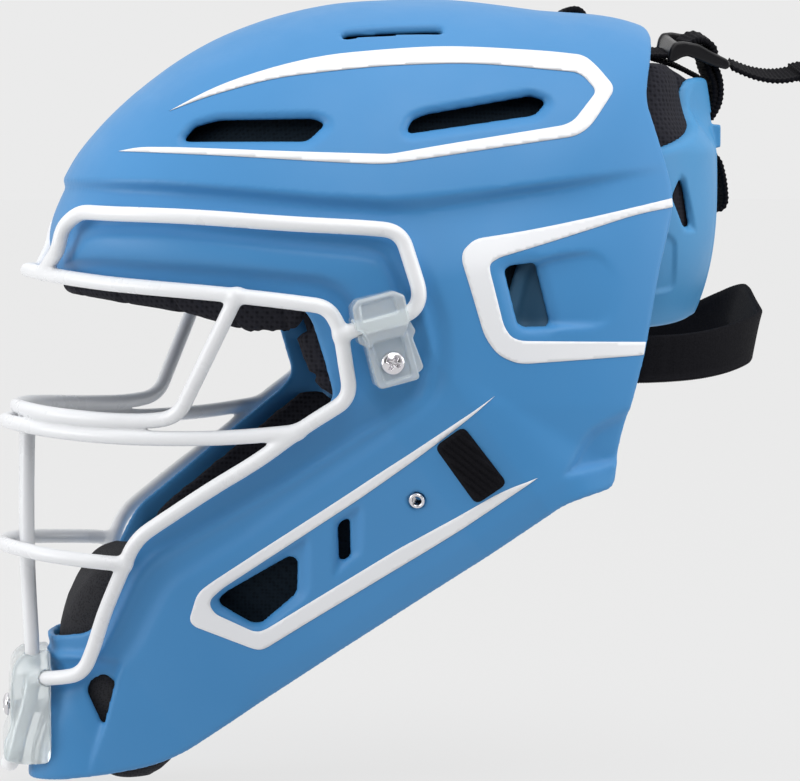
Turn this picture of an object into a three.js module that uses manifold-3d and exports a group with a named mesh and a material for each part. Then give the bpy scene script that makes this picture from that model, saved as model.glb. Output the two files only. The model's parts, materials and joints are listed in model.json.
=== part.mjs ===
// A hockey-style catcher's mask, in millimetres. +X is the wearer's left, -Y the front and +Z up,
// and the origin is the centre of the wearer's head.
import * as THREE from 'three';
import { mergeVertices } from 'three/addons/utils/BufferGeometryUtils.js';
import Module from 'manifold-3d';

const wasm = await Module();
wasm.setup();

// ---- Driving dimensions ----
const HALF_WIDTH = 108; // the shell at its widest, from the middle plane
const CENTRE_Z = 20; // height of the point that the side profile turns about
const WALL = 3.5; // shell thickness
const GAP = 0.4; // clearance between pieces that touch
const WIRE_R = 3; // cage wire
const WIRE_LIFT = 4.2; // wire centre above the shell where the cage lies on it
const BEND = 14; // how far before a corner a wire starts to turn
const WIRE_STEP = 10; // length of one straight piece of a wire's solid
const PAD = 12; // liner thickness
const PLATE = { a: 84, b: 91, c: 120, y: 40, z: 85, power: 2.4, wall: 2.5 }; // back plate ellipsoid
const SCREW = { shank: 2.2, head: 4.7, headHeight: 2.6, hole: 2.8 };
const SIDE_SCREW = { y: -16.5, z: 17.5, seat: 112.4, tip: 92.5 };
const CHIN_SCREW = { z: -128.5, seat: -163, tip: -141 };
const EYELET = { y: -4.5, z: -37.5, hole: 3.1, barrel: 2.7, bore: 1.7, flange: 3.7 };
const STRAP = { width: 20, thickness: 2 };
const NECK = { width: 20, thickness: 2.2, pivotY: 75, z: 17, x: 88.5 };

// The side profile: degrees from +Y towards +Z, then the radius about the profile's centre.
const PROFILE = [
  [0, 160], [25, 165], [45, 167], [53, 165], [69, 148], [90, 142], [103, 143], [114, 145],
  [122, 147], [131, 149], [138, 150.5], [145, 152.5], [151, 154], [160, 153.5], [170, 148],
  [185, 155], [205, 178], [219, 193], [224, 206], [228, 231], [233, 255], [245, 285],
  [270, 270], [300, 230], [330, 185],
];

// The half width below the brow: distance down the jaw line, then the half width there.
const JAW_TAPER = [[-80, 108], [0, 106], [30, 98], [61, 85], [100, 70], [136, 58], [170, 48],
  [202, 41], [240, 37], [300, 35]];

const COLOURS = { blue: 0x4a8bc8, white: 0xf0f0f2, black: 0x1b1c1f, clear: 0xd8dde0, steel: 0xc8c8cc };

// ---- Helpers ----
const smooth = (from, to, v) => THREE.MathUtils.smoothstep((v - from) / (to - from), 0, 1);

function profileRadius(degrees) {
  const angle = (degrees + 360) % 360;
  const knot = (k) => {
    const turns = Math.floor(k / PROFILE.length);
    const [a, r] = PROFILE[k - turns * PROFILE.length];
    return [a + 360 * turns, r];
  };
  const first = PROFILE.findLastIndex(([a]) => a <= angle);
  const [[a0, r0], [a1, r1], [a2, r2], [a3, r3]] = [-1, 0, 1, 2].map((k) => knot(first + k));
  const t = (angle - a1) / (a2 - a1);
  const slope1 = ((r2 - r0) / (a2 - a0)) * (a2 - a1);
  const slope2 = ((r3 - r1) / (a3 - a1)) * (a2 - a1);
  return r1 + t * slope1 + t * t * (3 * (r2 - r1) - 2 * slope1 - slope2)
    + t * t * t * (2 * (r1 - r2) + slope1 + slope2);
}

function jawHalfWidth(along) {
  const next = Math.max(1, JAW_TAPER.findIndex(([s]) => s > along));
  const [[s0, w0], [s1, w1]] = [JAW_TAPER[next - 1], JAW_TAPER[next]];
  return w0 + (w1 - w0) * THREE.MathUtils.clamp((along - s0) / (s1 - s0), 0, 1);
}

// Half the width of the helmet's form, moved out by offset, at a place in the side view.
function halfWidth(y, z, offset = 0) {
  const angle = (Math.atan2(z - CENTRE_Z, y) * 180 / Math.PI + 360) % 360;
  const jaw = smooth(175, 205, angle) * smooth(330, 290, angle);
  const lower = smooth(75, 10, z);
  const jawWidth = jawHalfWidth(-0.8 * y - 0.6 * (z - CENTRE_Z));
  const widest = HALF_WIDTH - (HALF_WIDTH - jawWidth) * lower - 0.08 * Math.max(0, -z) + offset;
  const reach = Math.hypot(y, z - CENTRE_Z) / (profileRadius(angle) + offset);
  return widest * Math.max(0, 1 - reach ** (2.3 + 5 * jaw)) ** (1 / (2.3 + 0.7 * jaw));
}

// The outward direction of the form's surface on the wearer's left.
function surfaceNormal(y, z) {
  const slopeY = (halfWidth(y + 1, z) - halfWidth(y - 1, z)) / 2;
  const slopeZ = (halfWidth(y, z + 1) - halfWidth(y, z - 1)) / 2;
  return new THREE.Vector3(1, -slopeY, -slopeZ).normalize();
}

function solid(geometry) {
  const bare = geometry.clone();
  bare.deleteAttribute('normal');
  bare.deleteAttribute('uv');
  const merged = mergeVertices(bare, 1e-3);
  const triVerts = new Uint32Array(merged.index.array);
  const vertProperties = merged.attributes.position.array;
  const made = new wasm.Manifold(new wasm.Mesh({ numProp: 3, vertProperties, triVerts }));
  if (made.volume() > 0) return made;
  return new wasm.Manifold(new wasm.Mesh({ numProp: 3, vertProperties, triVerts: triVerts.reverse() }));
}

const join = (first, ...others) => others.reduce((sum, other) => sum.add(other), first);
const cut = (body, ...tools) => tools.reduce((rest, tool) => rest.subtract(tool), body);
const keepLargest = (body) => body.decompose().reduce((a, b) => (b.volume() > a.volume() ? b : a));
const mirrored = (points) => points.map(([x, y, z]) => [-x, y, z]);
const bothSides = (half) => [...half, ...mirrored(half.slice(0, -1)).reverse()];

// A closed body from rows of points: caps at both ends of the list of rings.
function loft(rings) {
  const size = rings[0].length;
  const index = [];
  for (let i = 0; i + 1 < rings.length; i += 1) {
    for (let j = 0; j < size; j += 1) {
      const [a, b] = [i * size + j, i * size + ((j + 1) % size)];
      index.push(a, b, b + size, a, b + size, a + size);
    }
  }
  const last = (rings.length - 1) * size;
  for (let j = 1; j + 1 < size; j += 1) index.push(0, j + 1, j, last, last + j, last + j + 1);
  const geometry = new THREE.BufferGeometry().setFromPoints(rings.flat());
  return solid(geometry.setIndex(index));
}

// The whole closed helmet form, moved out by offset.
function form(offset, spokes = 56, rings = 10) {
  const points = [];
  const index = [];
  const place = (ring, spoke, side) => {
    const share = 1 - (1 - ring / rings) ** 2.2;
    const degrees = (spoke * 360) / spokes;
    const angle = THREE.MathUtils.degToRad(degrees);
    const radius = share * (profileRadius(degrees) + offset);
    const [y, z] = [radius * Math.cos(angle), CENTRE_Z + radius * Math.sin(angle)];
    points.push(new THREE.Vector3(ring === rings ? 0 : side * halfWidth(y, z, offset), y, z));
  };
  for (const side of [1, -1]) {
    const start = points.length;
    for (let ring = 0; ring <= rings; ring += 1) {
      for (let spoke = 0; spoke < spokes; spoke += 1) place(ring, spoke, side);
    }
    for (let ring = 0; ring < rings; ring += 1) {
      for (let spoke = 0; spoke < spokes; spoke += 1) {
        const [a, d] = [start + ring * spokes + spoke, start + ring * spokes + ((spoke + 1) % spokes)];
        const corners = ring ? [a, a + spokes, d + spokes, a, d + spokes, d] : [a, a + spokes, d + spokes];
        index.push(...(side > 0 ? corners : corners.reverse()));
      }
    }
  }
  return solid(new THREE.BufferGeometry().setFromPoints(points).setIndex(index));
}

// The back plate's closed superellipsoid, moved out by offset.
function plateForm(offset, turns = 32, rises = 18) {
  const bulge = (v) => Math.sign(v) * Math.abs(v) ** (2 / PLATE.power);
  const rings = [];
  for (let i = 1; i < rises; i += 1) {
    const rise = -Math.PI / 2 + (Math.PI * i) / rises;
    rings.push(Array.from({ length: turns }, (_, j) => {
      const turn = (2 * Math.PI * j) / turns;
      return new THREE.Vector3(
        (PLATE.a + offset) * bulge(Math.cos(rise)) * bulge(Math.cos(turn)),
        PLATE.y + (PLATE.b + offset) * bulge(Math.cos(rise)) * bulge(Math.sin(turn)),
        PLATE.z + (PLATE.c + offset) * bulge(Math.sin(rise)),
      );
    }));
  }
  return loft(rings);
}

// An outline with its corners rounded. A point may give its own radius as a third number.
function outline(points, radius = 2) {
  const shape = new THREE.Shape();
  const corners = points.map(([u, v]) => new THREE.Vector2(u, v));
  corners.forEach((corner, i) => {
    const before = corners.at(i - 1).clone().sub(corner);
    const after = corners[(i + 1) % corners.length].clone().sub(corner);
    const trim = Math.min(points[i][2] ?? radius, before.length() / 2, after.length() / 2);
    const from = before.setLength(trim).add(corner);
    const to = after.setLength(trim).add(corner);
    if (i) shape.lineTo(from.x, from.y);
    else shape.moveTo(from.x, from.y);
    shape.quadraticCurveTo(corner.x, corner.y, to.x, to.y);
  });
  return shape;
}

const disc = (u, v, radius) => new THREE.Shape().absarc(u, v, radius, 0, 2 * Math.PI);
const rectangle = (u0, v0, u1, v1) => outline([[u0, v0], [u1, v0], [u1, v1], [u0, v1]]);

// An outline pulled along an axis. It is drawn in (y, z) for x, (x, z) for y and (x, y) for z.
function prism(shape, axis, from, to, curveSegments = 2) {
  const geometry = new THREE.ExtrudeGeometry(shape, { depth: to - from, bevelEnabled: false, curveSegments });
  const [x, y, z] = [[1, 0, 0], [0, 1, 0], [0, 0, 1]].map((v) => new THREE.Vector3(...v));
  const turn = (...axes) => new THREE.Matrix4().makeBasis(...axes);
  if (axis === 'x') geometry.translate(0, 0, from).applyMatrix4(turn(y, z, x));
  if (axis === 'y') geometry.translate(0, 0, -to).applyMatrix4(turn(x, z, y.negate()));
  if (axis === 'z') geometry.translate(0, 0, from);
  return solid(geometry);
}

const sidePair = (shape, from, to) => prism(shape, 'x', from, to).add(prism(shape, 'x', -to, -from));
const drill = (u, v, radius, axis, from, to) => prism(disc(u, v, radius), axis, from, to, 6);

// A smooth route through points, its corners rounded by curves.
function route(points, trim) {
  const path = new THREE.CurvePath();
  const corners = points.map((p) => new THREE.Vector3(...p));
  let last = corners[0];
  for (let i = 1; i + 1 < corners.length; i += 1) {
    const before = corners[i - 1].clone().sub(corners[i]);
    const after = corners[i + 1].clone().sub(corners[i]);
    const reach = Math.min(trim, before.length() * 0.49, after.length() * 0.49);
    const from = before.setLength(reach).add(corners[i]);
    const to = after.setLength(reach).add(corners[i]);
    path.add(new THREE.LineCurve3(last, from));
    path.add(new THREE.QuadraticBezierCurve3(from, corners[i], to));
    last = to;
  }
  path.add(new THREE.LineCurve3(last, corners.at(-1)));
  return path;
}

function wire(points, radius = WIRE_R) {
  const extrudePath = route(points, BEND);
  const steps = Math.ceil(extrudePath.getLength() / WIRE_STEP);
  return solid(new THREE.ExtrudeGeometry(disc(0, 0, radius), { steps, extrudePath, curveSegments: 3 }));
}

// A flat strap along a route, its width lying along across.
function band(points, across, { width, thickness }, step = 5) {
  const path = route(points, 8);
  const steps = Math.ceil(path.getLength() / step);
  const side = across.clone().setLength(width / 2);
  return loft(Array.from({ length: steps + 1 }, (_, i) => {
    const up = path.getTangent(i / steps).cross(across).setLength(thickness / 2);
    return [[1, 1], [1, -1], [-1, -1], [-1, 1]].map(([s, u]) => (
      path.getPoint(i / steps).addScaledVector(side, s).addScaledVector(up, u)
    ));
  }));
}

// A body turned about +Y, from a closed list of radius and height.
const turned = (profile, segments = 12) => (
  new THREE.LatheGeometry(profile.map(([r, h]) => new THREE.Vector2(r, h)), segments)
);

// ---- Outlines in the side view ----
const SHELL_SIDE = outline([
  [101, 185], [100, 148, 4], [92, 128, 10], [90, 119, 8], [98.5, 86, 10], [98.5, 76, 8], [91.7, 52],
  [85.6, 20], [80, 0], [76, -13.5], [73, -33, 4], [62, -36, 4], [52, -39.5, 10], [-93, -145.5, 8],
  [-106, -151, 6], [-124, -155, 6], [-142, -157.5], [-185, -160], [-185, -101], [-147, -99],
  [-130, -95.5, 4], [-112, -59.5, 10], [-107, -51.5, 8], [-36, 1, 8], [-31.5, 7, 6], [-36, 23, 8],
  [-41, 36, 6], [-48, 40.5, 6], [-70, 42.5], [-108, 44.7], [-185, 47.5], [-185, 185],
], 5);
const BROW_VENT = outline([[-94, 102.8], [-89, 108.5], [-80, 111], [-44, 111.6], [-39.5, 109.5],
  [-47, 102.8]]);
const CROWN_VENT = outline([[-8.5, 105.7], [-6, 111], [0, 113.3], [42.5, 120.8], [48.5, 118.5],
  [43.3, 113.2]]);
const EAR_VENT = outline([[28, 55], [40, 55.7], [46.4, 31], [34, 31]], 2.5);
const JAW_VENT = outline([[-79.5, -80], [-76.5, -77], [-52, -61.5], [-49, -63], [-49, -76.8], [-62.5, -89.6],
  [-66.5, -89.6], [-78.8, -82.2]]);
const JAW_SLOT = outline([[-34, -48], [-29.6, -45], [-28.4, -63.3], [-33, -65.2]], 1.2);
const CHIN_VENT = outline([[-120.6, -115.6], [-124.6, -112.4], [-130, -115.6], [-131.5, -120], [-125, -134]]);
const TOP_SLOT = outline([[52, -30], [57, -30], [58, 10], [53, 10]]);
const SIDE_PATCH = outline([[2, -16], [12, -8.5], [28.9, -30.5], [18, -38.2]], 4);
const CLIP_BODY = outline([[-31.5, 30], [-8, 30], [-4.2, 14.5], [-6.5, 11.9], [-21, 7.8], [-23, 9.4]]);
const CLIP_HOOD = outline([[-32, 39.8], [-16.6, 45.2], [-11, 43], [-7.3, 30.5], [-9.5, 26.5], [-29.5, 22]]);
const FOREHEAD = outline([[-160, 48], [-120, 43.5], [-90, 39.5], [-66, 31.5], [-50, 31], [-46, 46], [-46, 88],
  [-160, 88]], 4);
const TEMPLE = outline([[-28, 38], [-24, 8], [-4, -8], [30, -28], [60, -26], [65, 0], [65, 62], [20, 74],
  [-22, 62]], 8);
const JAW = outline([[-34, -3.5], [-100, -52], [-104, -62], [-93, -72], [-56, -47], [-10, -16],
  [-24, -3]], 5);
const CHIN_OUTER = outline([[-143, -101], [-139, -86], [-131, -72], [-122, -64], [-100, -66], [-86, -86],
  [-80, -122], [-88, -140], [-103, -157], [-119, -159], [-127, -154], [-144, -152]], 5);
const CHIN_CUP = outline([[-129, -101], [-126, -88], [-116, -78], [-70, -80], [-70, -170], [-112, -170],
  [-129, -146]], 6);
const CHIN_CLIP = outline([[-150, -104], [-157, -105], [-161.5, -110], [-162.6, -120], [-162.6, -135],
  [-165.5, -142], [-165, -149.5], [-157, -152], [-140, -152], [-140, -104]], 1.5);
const LOCK_SIDE = outline([[113.5, 140], [114, 146], [116, 147], [121, 146.5], [128, 144.5], [138, 139.5],
  [139.8, 137], [137.5, 134.8], [128, 139], [121, 141], [116, 138.5]], 1);

// ---- Routes of the cage wires on the wearer's left, from the middle or the front ----
// A wire's centre where it lies on the shell, from its place in the side view.
const onShell = (y, z) => [halfWidth(y, z) + WIRE_LIFT / surfaceNormal(y, z).x, y, z];
const RIM_ROUTE = [[0, -154, 50.7], [20, -150, 50.4], onShell(-142.2, 49.2), onShell(-134.5, 48.2),
  onShell(-124, 47), onShell(-111.6, 46), onShell(-97, 44.9), onShell(-81.5, 43.7), onShell(-58, 41.2),
  onShell(-41, 39), onShell(-36, 30.4), onShell(-34, 17.5), onShell(-31.4, 3.5), onShell(-50.3, -9.4),
  onShell(-65.3, -21.8), onShell(-84, -34), onShell(-101.2, -46.4), onShell(-113, -55),
  onShell(-120.5, -73.9), onShell(-125.5, -87.3), onShell(-129, -100.2), onShell(-133.5, -112),
  [26.5, -144.5, -114.5], [14, -153, -116]];
const BROW_ROUTE = [[24, -148, 50.5], onShell(-142.8, 60), onShell(-141, 69), onShell(-134.5, 75.2),
  onShell(-124, 74.6), onShell(-112, 74.3), onShell(-97, 73.8), onShell(-81.6, 72.9), onShell(-57.8, 71.1),
  onShell(-26.3, 69.5), onShell(-13, 68.2), onShell(-3.5, 37.5), onShell(-26.3, 31.8), [104.6, -36, 28]];
const EYE_ROUTE = [[0, -158.8, -5], [20, -156, -5], [40, -146.3, -6], [55, -127, -7.4], [63, -110, -7.6],
  [70.5, -97, -5.8], [95, -75.2, 43.4]];
const UPPER_ROUTE = [[0, -163.6, -11], [18, -160.4, -11], [38, -147.2, -12.6], [55, -127.3, -14],
  [68, -101.4, -14.3], [78, -76.1, -13.4], [90, -51.4, -10.4]];
const LOWER_ROUTE = [[0, -165.8, -61.7], [20, -161.4, -61.4], [40, -146.6, -63], [52, -127.2, -64.6],
  [52.4, -117.2, -65.5]];
const CENTRE_ROUTE = [[14, -154.4, -8.6], [14, -155.2, -40], [14, -155, -70], [14, -153.4, -102],
  [14, -153.2, -116], [14, -155, -126], [14, -158.4, -137], [14, -162, -151.5], [0, -163.4, -153]];

// ---- The parts ----
const outer = form(0);
const clearOuter = form(GAP);
const inner = form(-WALL, 44, 8);
const lining = form(-WALL - GAP, 44, 8);
const padInner = form(-WALL - GAP - PAD, 36, 7);
const x = new THREE.Vector3(1, 0, 0);
const up = new THREE.Vector3(0, 0, 1);
const eyeletNormal = surfaceNormal(EYELET.y, EYELET.z);

function alongNormal(geometry, side) {
  const direction = eyeletNormal.clone().setX(eyeletNormal.x * side);
  const turn = new THREE.Quaternion().setFromUnitVectors(new THREE.Vector3(0, 1, 0), direction);
  return geometry.applyQuaternion(turn)
    .translate(side * halfWidth(EYELET.y, EYELET.z), EYELET.y, EYELET.z);
}

function frontShell() {
  const pin = () => new THREE.CylinderGeometry(EYELET.hole, EYELET.hole, 24, 12);
  const eyeletHoles = [-1, 1].map((side) => solid(alongNormal(pin(), side)));
  return cut(
    outer.subtract(inner).intersect(prism(SHELL_SIDE, 'x', -130, 130)),
    ...[BROW_VENT, CROWN_VENT, EAR_VENT, JAW_VENT, JAW_SLOT].map((vent) => sidePair(vent, 45, 130)),
    sidePair(CHIN_VENT, 16, 60),
    drill(SIDE_SCREW.y, SIDE_SCREW.z, SCREW.hole, 'x', -130, 130),
    drill(0, CHIN_SCREW.z, SCREW.hole, 'y', -170, -135),
    prism(TOP_SLOT, 'z', 125, 170),
    prism(outline([[-57, -30], [-52, -30], [-53, 10], [-58, 10]]), 'z', 125, 170),
    ...eyeletHoles,
  );
}

const rim = wire(bothSides([...RIM_ROUTE].reverse()));
const centreBars = wire(bothSides(CENTRE_ROUTE));
const clearRim = wire(bothSides([...RIM_ROUTE].reverse()), WIRE_R + GAP + 0.1);
const clearCentre = wire(bothSides(CENTRE_ROUTE), WIRE_R + GAP + 0.1);
const browWire = (side, radius) => wire(side < 0 ? mirrored(BROW_ROUTE) : BROW_ROUTE, radius);
const clearBrow = [-1, 1].map((side) => browWire(side, WIRE_R + GAP));
const toRim = (body) => keepLargest(cut(body, clearRim));

function sideClip(side) {
  const at = (shape, top) => prism(shape, 'x', ...(side > 0 ? [90, top] : [-top, -90]));
  const block = join(at(CLIP_BODY, 112), at(CLIP_HOOD, 116.5));
  const hole = drill(SIDE_SCREW.y, SIDE_SCREW.z, SCREW.hole, 'x', -130, 130);
  return keepLargest(cut(block, clearOuter, clearRim, ...clearBrow, hole));
}

function chinClip() {
  const front = prism(outline([[-23, -112], [-16, -104], [16, -104], [23, -112], [23, -146], [18, -152],
    [-18, -152], [-23, -146]]), 'y', -170, -135);
  const block = prism(CHIN_CLIP, 'x', -24, 24).intersect(front);
  return keepLargest(cut(
    block, clearOuter, clearRim, clearCentre, drill(0, CHIN_SCREW.z, SCREW.hole, 'y', -180, -130),
  ));
}

// A pan-head screw along +Y, its head's underside at the origin, with a cross recess.
function screw(length) {
  const { shank, head, headHeight } = SCREW;
  const body = turned([[0, -length], [shank, -length], [shank, 0], [head, 0], [head, 1],
    [head * 0.7, headHeight * 0.85], [0, headHeight]]);
  const arm = (width, depth) => solid(new THREE.BoxGeometry(width, 2.4, depth).translate(0, headHeight, 0));
  return cut(solid(body), arm(5.6, 1.1), arm(1.1, 5.6));
}

// A T-nut along +Y: a flange at the origin and a barrel behind it.
const tNut = () => solid(turned([[SCREW.hole, 0], [6.5, 0], [6.5, -1.3], [3.7, -1.3], [3.7, -5.5],
  [SCREW.hole, -5.5], [SCREW.hole, 0]]));

function eyelet(side) {
  const { barrel, bore, flange } = EYELET;
  return solid(alongNormal(turned([[bore, 1.1], [flange, 1.1], [flange, GAP], [barrel, GAP], [barrel, -5],
    [bore, -5], [bore, 1.1]], 14), side));
}

// A layer that lies on the form between two offsets, inside an outline and on one side.
function layer(shape, over, under, side) {
  return prism(shape, 'x', ...(side > 0 ? [20, 130] : [-130, -20])).intersect(over).subtract(under);
}

const foreheadPad = () => prism(FOREHEAD, 'x', -130, 130).intersect(lining).subtract(padInner);
const crownPad = () => prism(rectangle(-48, -58, 48, 52), 'z', 100, 180).intersect(lining).subtract(padInner);
const templePad = (side) => cut(
  layer(TEMPLE, lining, padInner, side), drill(SIDE_SCREW.y, SIDE_SCREW.z, 8, 'x', -120, 120),
);
const jawPad = (side) => keepLargest(layer(JAW, lining, padInner, side));
const chinPad = () => keepLargest(cut(
  prism(CHIN_OUTER, 'x', -60, 60).intersect(lining),
  prism(CHIN_CUP, 'x', -60, 60).intersect(form(-WALL - GAP - PAD - 2, 36, 7)),
  drill(0, CHIN_SCREW.z, 8, 'y', -150, -135),
));

function backPlate() {
  const rear = outline([[-24, 130], [-31, 113], [-60, 103], [-78, 96], [-90, 70], [-90, 45], [-60, 31],
    [-24, 27], [0, 26], [24, 27], [60, 31], [90, 45], [90, 70], [78, 96], [60, 103], [31, 113],
    [24, 130]], 8);
  const shell = plateForm(0).subtract(plateForm(-PLATE.wall)).intersect(prism(rear, 'y', 79, 150));
  const bridge = prism(rectangle(-15, 101.5, 15, 108.5), 'y', 127.5, 135);
  const sideVent = outline([[102, 81], [106, 89], [109, 85], [112.5, 67], [108, 69]]);
  return cut(
    shell.add(bridge), sidePair(sideVent, 50, 90), prism(rectangle(-12, 110.8, 12, 115.2), 'y', 110, 150),
    prism(rectangle(-12, 96.2, 12, 99.8), 'y', 110, 150), prism(rectangle(-12, 71, 12, 75), 'y', 110, 150),
  );
}

function rearPad() {
  const shape = outline([[-30, 136], [-52, 124], [-64, 100], [-64, 60], [-46, 42], [46, 42], [64, 60],
    [64, 100], [52, 124], [30, 136]], 10);
  const top = outline([[80, 30], [80, 134], [98, 135.5], [107, 133.5], [119, 127.5], [140, 125],
    [140, 30]], 5);
  const thick = plateForm(-PLATE.wall - GAP).subtract(plateForm(-PLATE.wall - 17, 30, 16));
  return keepLargest(thick.intersect(prism(shape, 'y', 86, 140)).intersect(prism(top, 'x', -70, 70)));
}

function ladderLock() {
  const frame = prism(LOCK_SIDE, 'x', -14, 14);
  return cut(frame, ...[[118, 124], [128.5, 135]].map(([from, to]) => (
    prism(rectangle(-11.2, from, 11.2, to), 'z', 120, 160))));
}

const planar = (points) => points.map(([y, z]) => [0, y, z]);
const strapRoll = () => band(planar([[121.2, 142], [121.2, 148], [126.4, 149.6], [131.6, 147],
  [131.6, 139.4]]), x, STRAP, 3);
const strapLoop = () => band(planar([[131.6, 138.4], [132.8, 135.6], [135.8, 130], [136.6, 124],
  [135, 117.6], [129.5, 113]]), x, STRAP, 4);
const plateStrap = () => band(planar([[131.2, 98], [135.4, 94], [136.4, 84], [134.6, 77],
  [131.2, 73]]), x, STRAP, 4);
const topStrap = () => band(planar([[70, 141], [95, 140.6], [112.4, 140.6]]), x, STRAP, 8);
const innerStrap = () => band(planar([[114.5, 136.6], [125.4, 130.8]]), x, { width: 16, thickness: 1.6 });
const TAIL_LEAN = new THREE.Vector3(0.966, 0, -0.259);
const strapTail = () => band(planar([[141, 135.4], [147, 132.6], [154, 130.4], [162, 130], [166.6, 130.8]]),
  TAIL_LEAN, STRAP, 4);
const tailEnd = () => band(planar([[167.1, 131], [171.8, 132]]), TAIL_LEAN, { width: 21, thickness: 5 });
const neckStrap = () => band([[88.5, 70, 17], [88.5, 90, 17], [86, 108, 18], [78, 125, 20], [60, 141, 22],
  [34, 150.5, 24], [0, 153.5, 28], [-30, 152, 32.5], [-58, 142.5, 29], [-78, 125, 23], [-86, 108, 19],
  [-88.5, 90, 17], [-88.5, 70, 17]], up, NECK, 11);

function neckAnchor(side) {
  const [from, to] = [NECK.x + NECK.thickness / 2 + GAP, halfWidth(NECK.pivotY, NECK.z) - WALL - 2.6];
  return drill(NECK.pivotY, NECK.z, 6, 'x', ...(side > 0 ? [from, to] : [-to, -from]));
}

// ---- Assembly ----
const mask = new THREE.Group();
const material = (colour, roughness = 0.6, metalness = 0) => (
  new THREE.MeshStandardMaterial({ color: COLOURS[colour], roughness, metalness })
);

function add(name, body, colour, place = () => {}) {
  const made = body.getMesh();
  const geometry = new THREE.BufferGeometry();
  geometry.setAttribute('position', new THREE.BufferAttribute(made.vertProperties, 3));
  geometry.setIndex(new THREE.BufferAttribute(made.triVerts, 1));
  geometry.computeVertexNormals();
  const metal = colour === 'steel';
  const mesh = new THREE.Mesh(geometry, material(colour, metal ? 0.25 : 0.6, metal ? 1 : 0));
  mesh.name = name;
  place(mesh);
  mask.add(mesh);
}

const facing = (side, [px, py, pz]) => (mesh) => {
  mesh.rotation.z = -side * Math.PI / 2;
  mesh.position.set(side * px, py, pz);
};
const forward = (y, z) => (mesh) => {
  mesh.rotation.x = Math.PI;
  mesh.position.set(0, y, z);
};

add('front_shell', frontShell(), 'blue');
add('cage_rim_wire', keepLargest(cut(rim, clearCentre)), 'white');
add('cage_eye_bar', toRim(wire(bothSides([...EYE_ROUTE].reverse()))), 'white');
add('cage_upper_bar', toRim(wire(bothSides([...UPPER_ROUTE].reverse()))), 'white');
add('cage_lower_bar', toRim(wire(bothSides([...LOWER_ROUTE].reverse()))), 'white');
add('cage_centre_bars', keepLargest(centreBars), 'white');
add('chin_clip', chinClip(), 'clear');
add('chin_screw', screw(CHIN_SCREW.tip - CHIN_SCREW.seat), 'steel', forward(CHIN_SCREW.seat, CHIN_SCREW.z));
add('forehead_pad', foreheadPad(), 'black');
add('crown_pad', crownPad(), 'black');
add('chin_pad', chinPad(), 'black');
add('crown_strap_anchor', prism(rectangle(-12, 78, 12, 90), 'z', 142.6, 149), 'black');
add('crown_tab', prism(outline([[64, 150], [70, 159.5], [77, 160], [81, 150]], 3), 'x', -8, 8)
  .subtract(clearOuter), 'black');
for (const [name, side] of [['left', 1], ['right', -1]]) {
  add(`cage_brow_wire_${name}`, toRim(browWire(side)), 'white');
  add(`side_clip_${name}`, sideClip(side), 'clear');
  const { y, z, seat, tip } = SIDE_SCREW;
  add(`side_screw_${name}`, screw(seat - tip), 'steel', facing(side, [seat, y, z]));
  add(`side_t_nut_${name}`, tNut(), 'steel', facing(side, [96, y, z]));
  add(`temple_pad_${name}`, templePad(side), 'black');
  add(`jaw_pad_${name}`, jawPad(side), 'black');
  add(`side_patch_${name}`, layer(SIDE_PATCH, form(1.9), clearOuter, side), 'black');
  add(`eyelet_${name}`, eyelet(side), 'steel');
  add(`neck_strap_anchor_${name}`, neckAnchor(side), 'black');
}
add('chin_t_nut', tNut(), 'steel', forward(-144.4, CHIN_SCREW.z));
add('top_strap', topStrap(), 'black');
add('ladder_lock', ladderLock(), 'black');
add('strap_roll', strapRoll(), 'black');
add('strap_tail', strapTail(), 'black');
add('strap_tail_end', tailEnd(), 'black');
add('strap_loop', strapLoop(), 'black');
add('inner_strap', innerStrap(), 'black');
add('back_plate', backPlate(), 'blue');
add('plate_strap', plateStrap(), 'black');
add('rear_pad', rearPad(), 'black');
add('neck_strap', neckStrap(), 'black');

export default mask;
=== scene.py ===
"""A hockey-style catcher's mask: its finished surfaces, built around the fixed CAD frame.

The frame is in metres, with +X to the wearer's left, -Y out of the face, +Z up and the origin at the
centre of the wearer's head. Shapes are worked out here in millimetres and become metres as they are built.
"""
import json
import math

import bmesh
import bpy
import numpy as np
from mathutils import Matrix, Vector
from mathutils.geometry import delaunay_2d_cdt


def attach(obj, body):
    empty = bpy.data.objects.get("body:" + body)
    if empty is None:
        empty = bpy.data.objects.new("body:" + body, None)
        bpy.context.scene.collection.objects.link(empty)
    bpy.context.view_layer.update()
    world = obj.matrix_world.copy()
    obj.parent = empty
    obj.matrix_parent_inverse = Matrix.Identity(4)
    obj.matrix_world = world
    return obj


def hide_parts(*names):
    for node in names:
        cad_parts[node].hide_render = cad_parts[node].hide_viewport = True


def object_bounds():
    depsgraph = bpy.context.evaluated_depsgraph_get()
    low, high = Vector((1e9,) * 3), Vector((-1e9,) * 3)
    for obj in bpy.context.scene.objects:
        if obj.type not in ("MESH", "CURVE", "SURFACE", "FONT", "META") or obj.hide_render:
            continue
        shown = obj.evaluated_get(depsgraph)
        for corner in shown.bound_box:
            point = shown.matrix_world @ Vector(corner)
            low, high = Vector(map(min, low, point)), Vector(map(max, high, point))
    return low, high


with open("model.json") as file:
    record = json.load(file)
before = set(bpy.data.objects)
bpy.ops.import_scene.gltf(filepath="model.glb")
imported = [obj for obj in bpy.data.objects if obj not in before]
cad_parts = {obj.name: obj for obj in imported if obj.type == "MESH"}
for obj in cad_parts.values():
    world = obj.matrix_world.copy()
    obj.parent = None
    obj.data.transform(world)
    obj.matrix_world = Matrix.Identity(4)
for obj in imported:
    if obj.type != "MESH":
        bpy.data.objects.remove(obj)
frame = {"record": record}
CAD_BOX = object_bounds()
MM = 0.001

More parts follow.
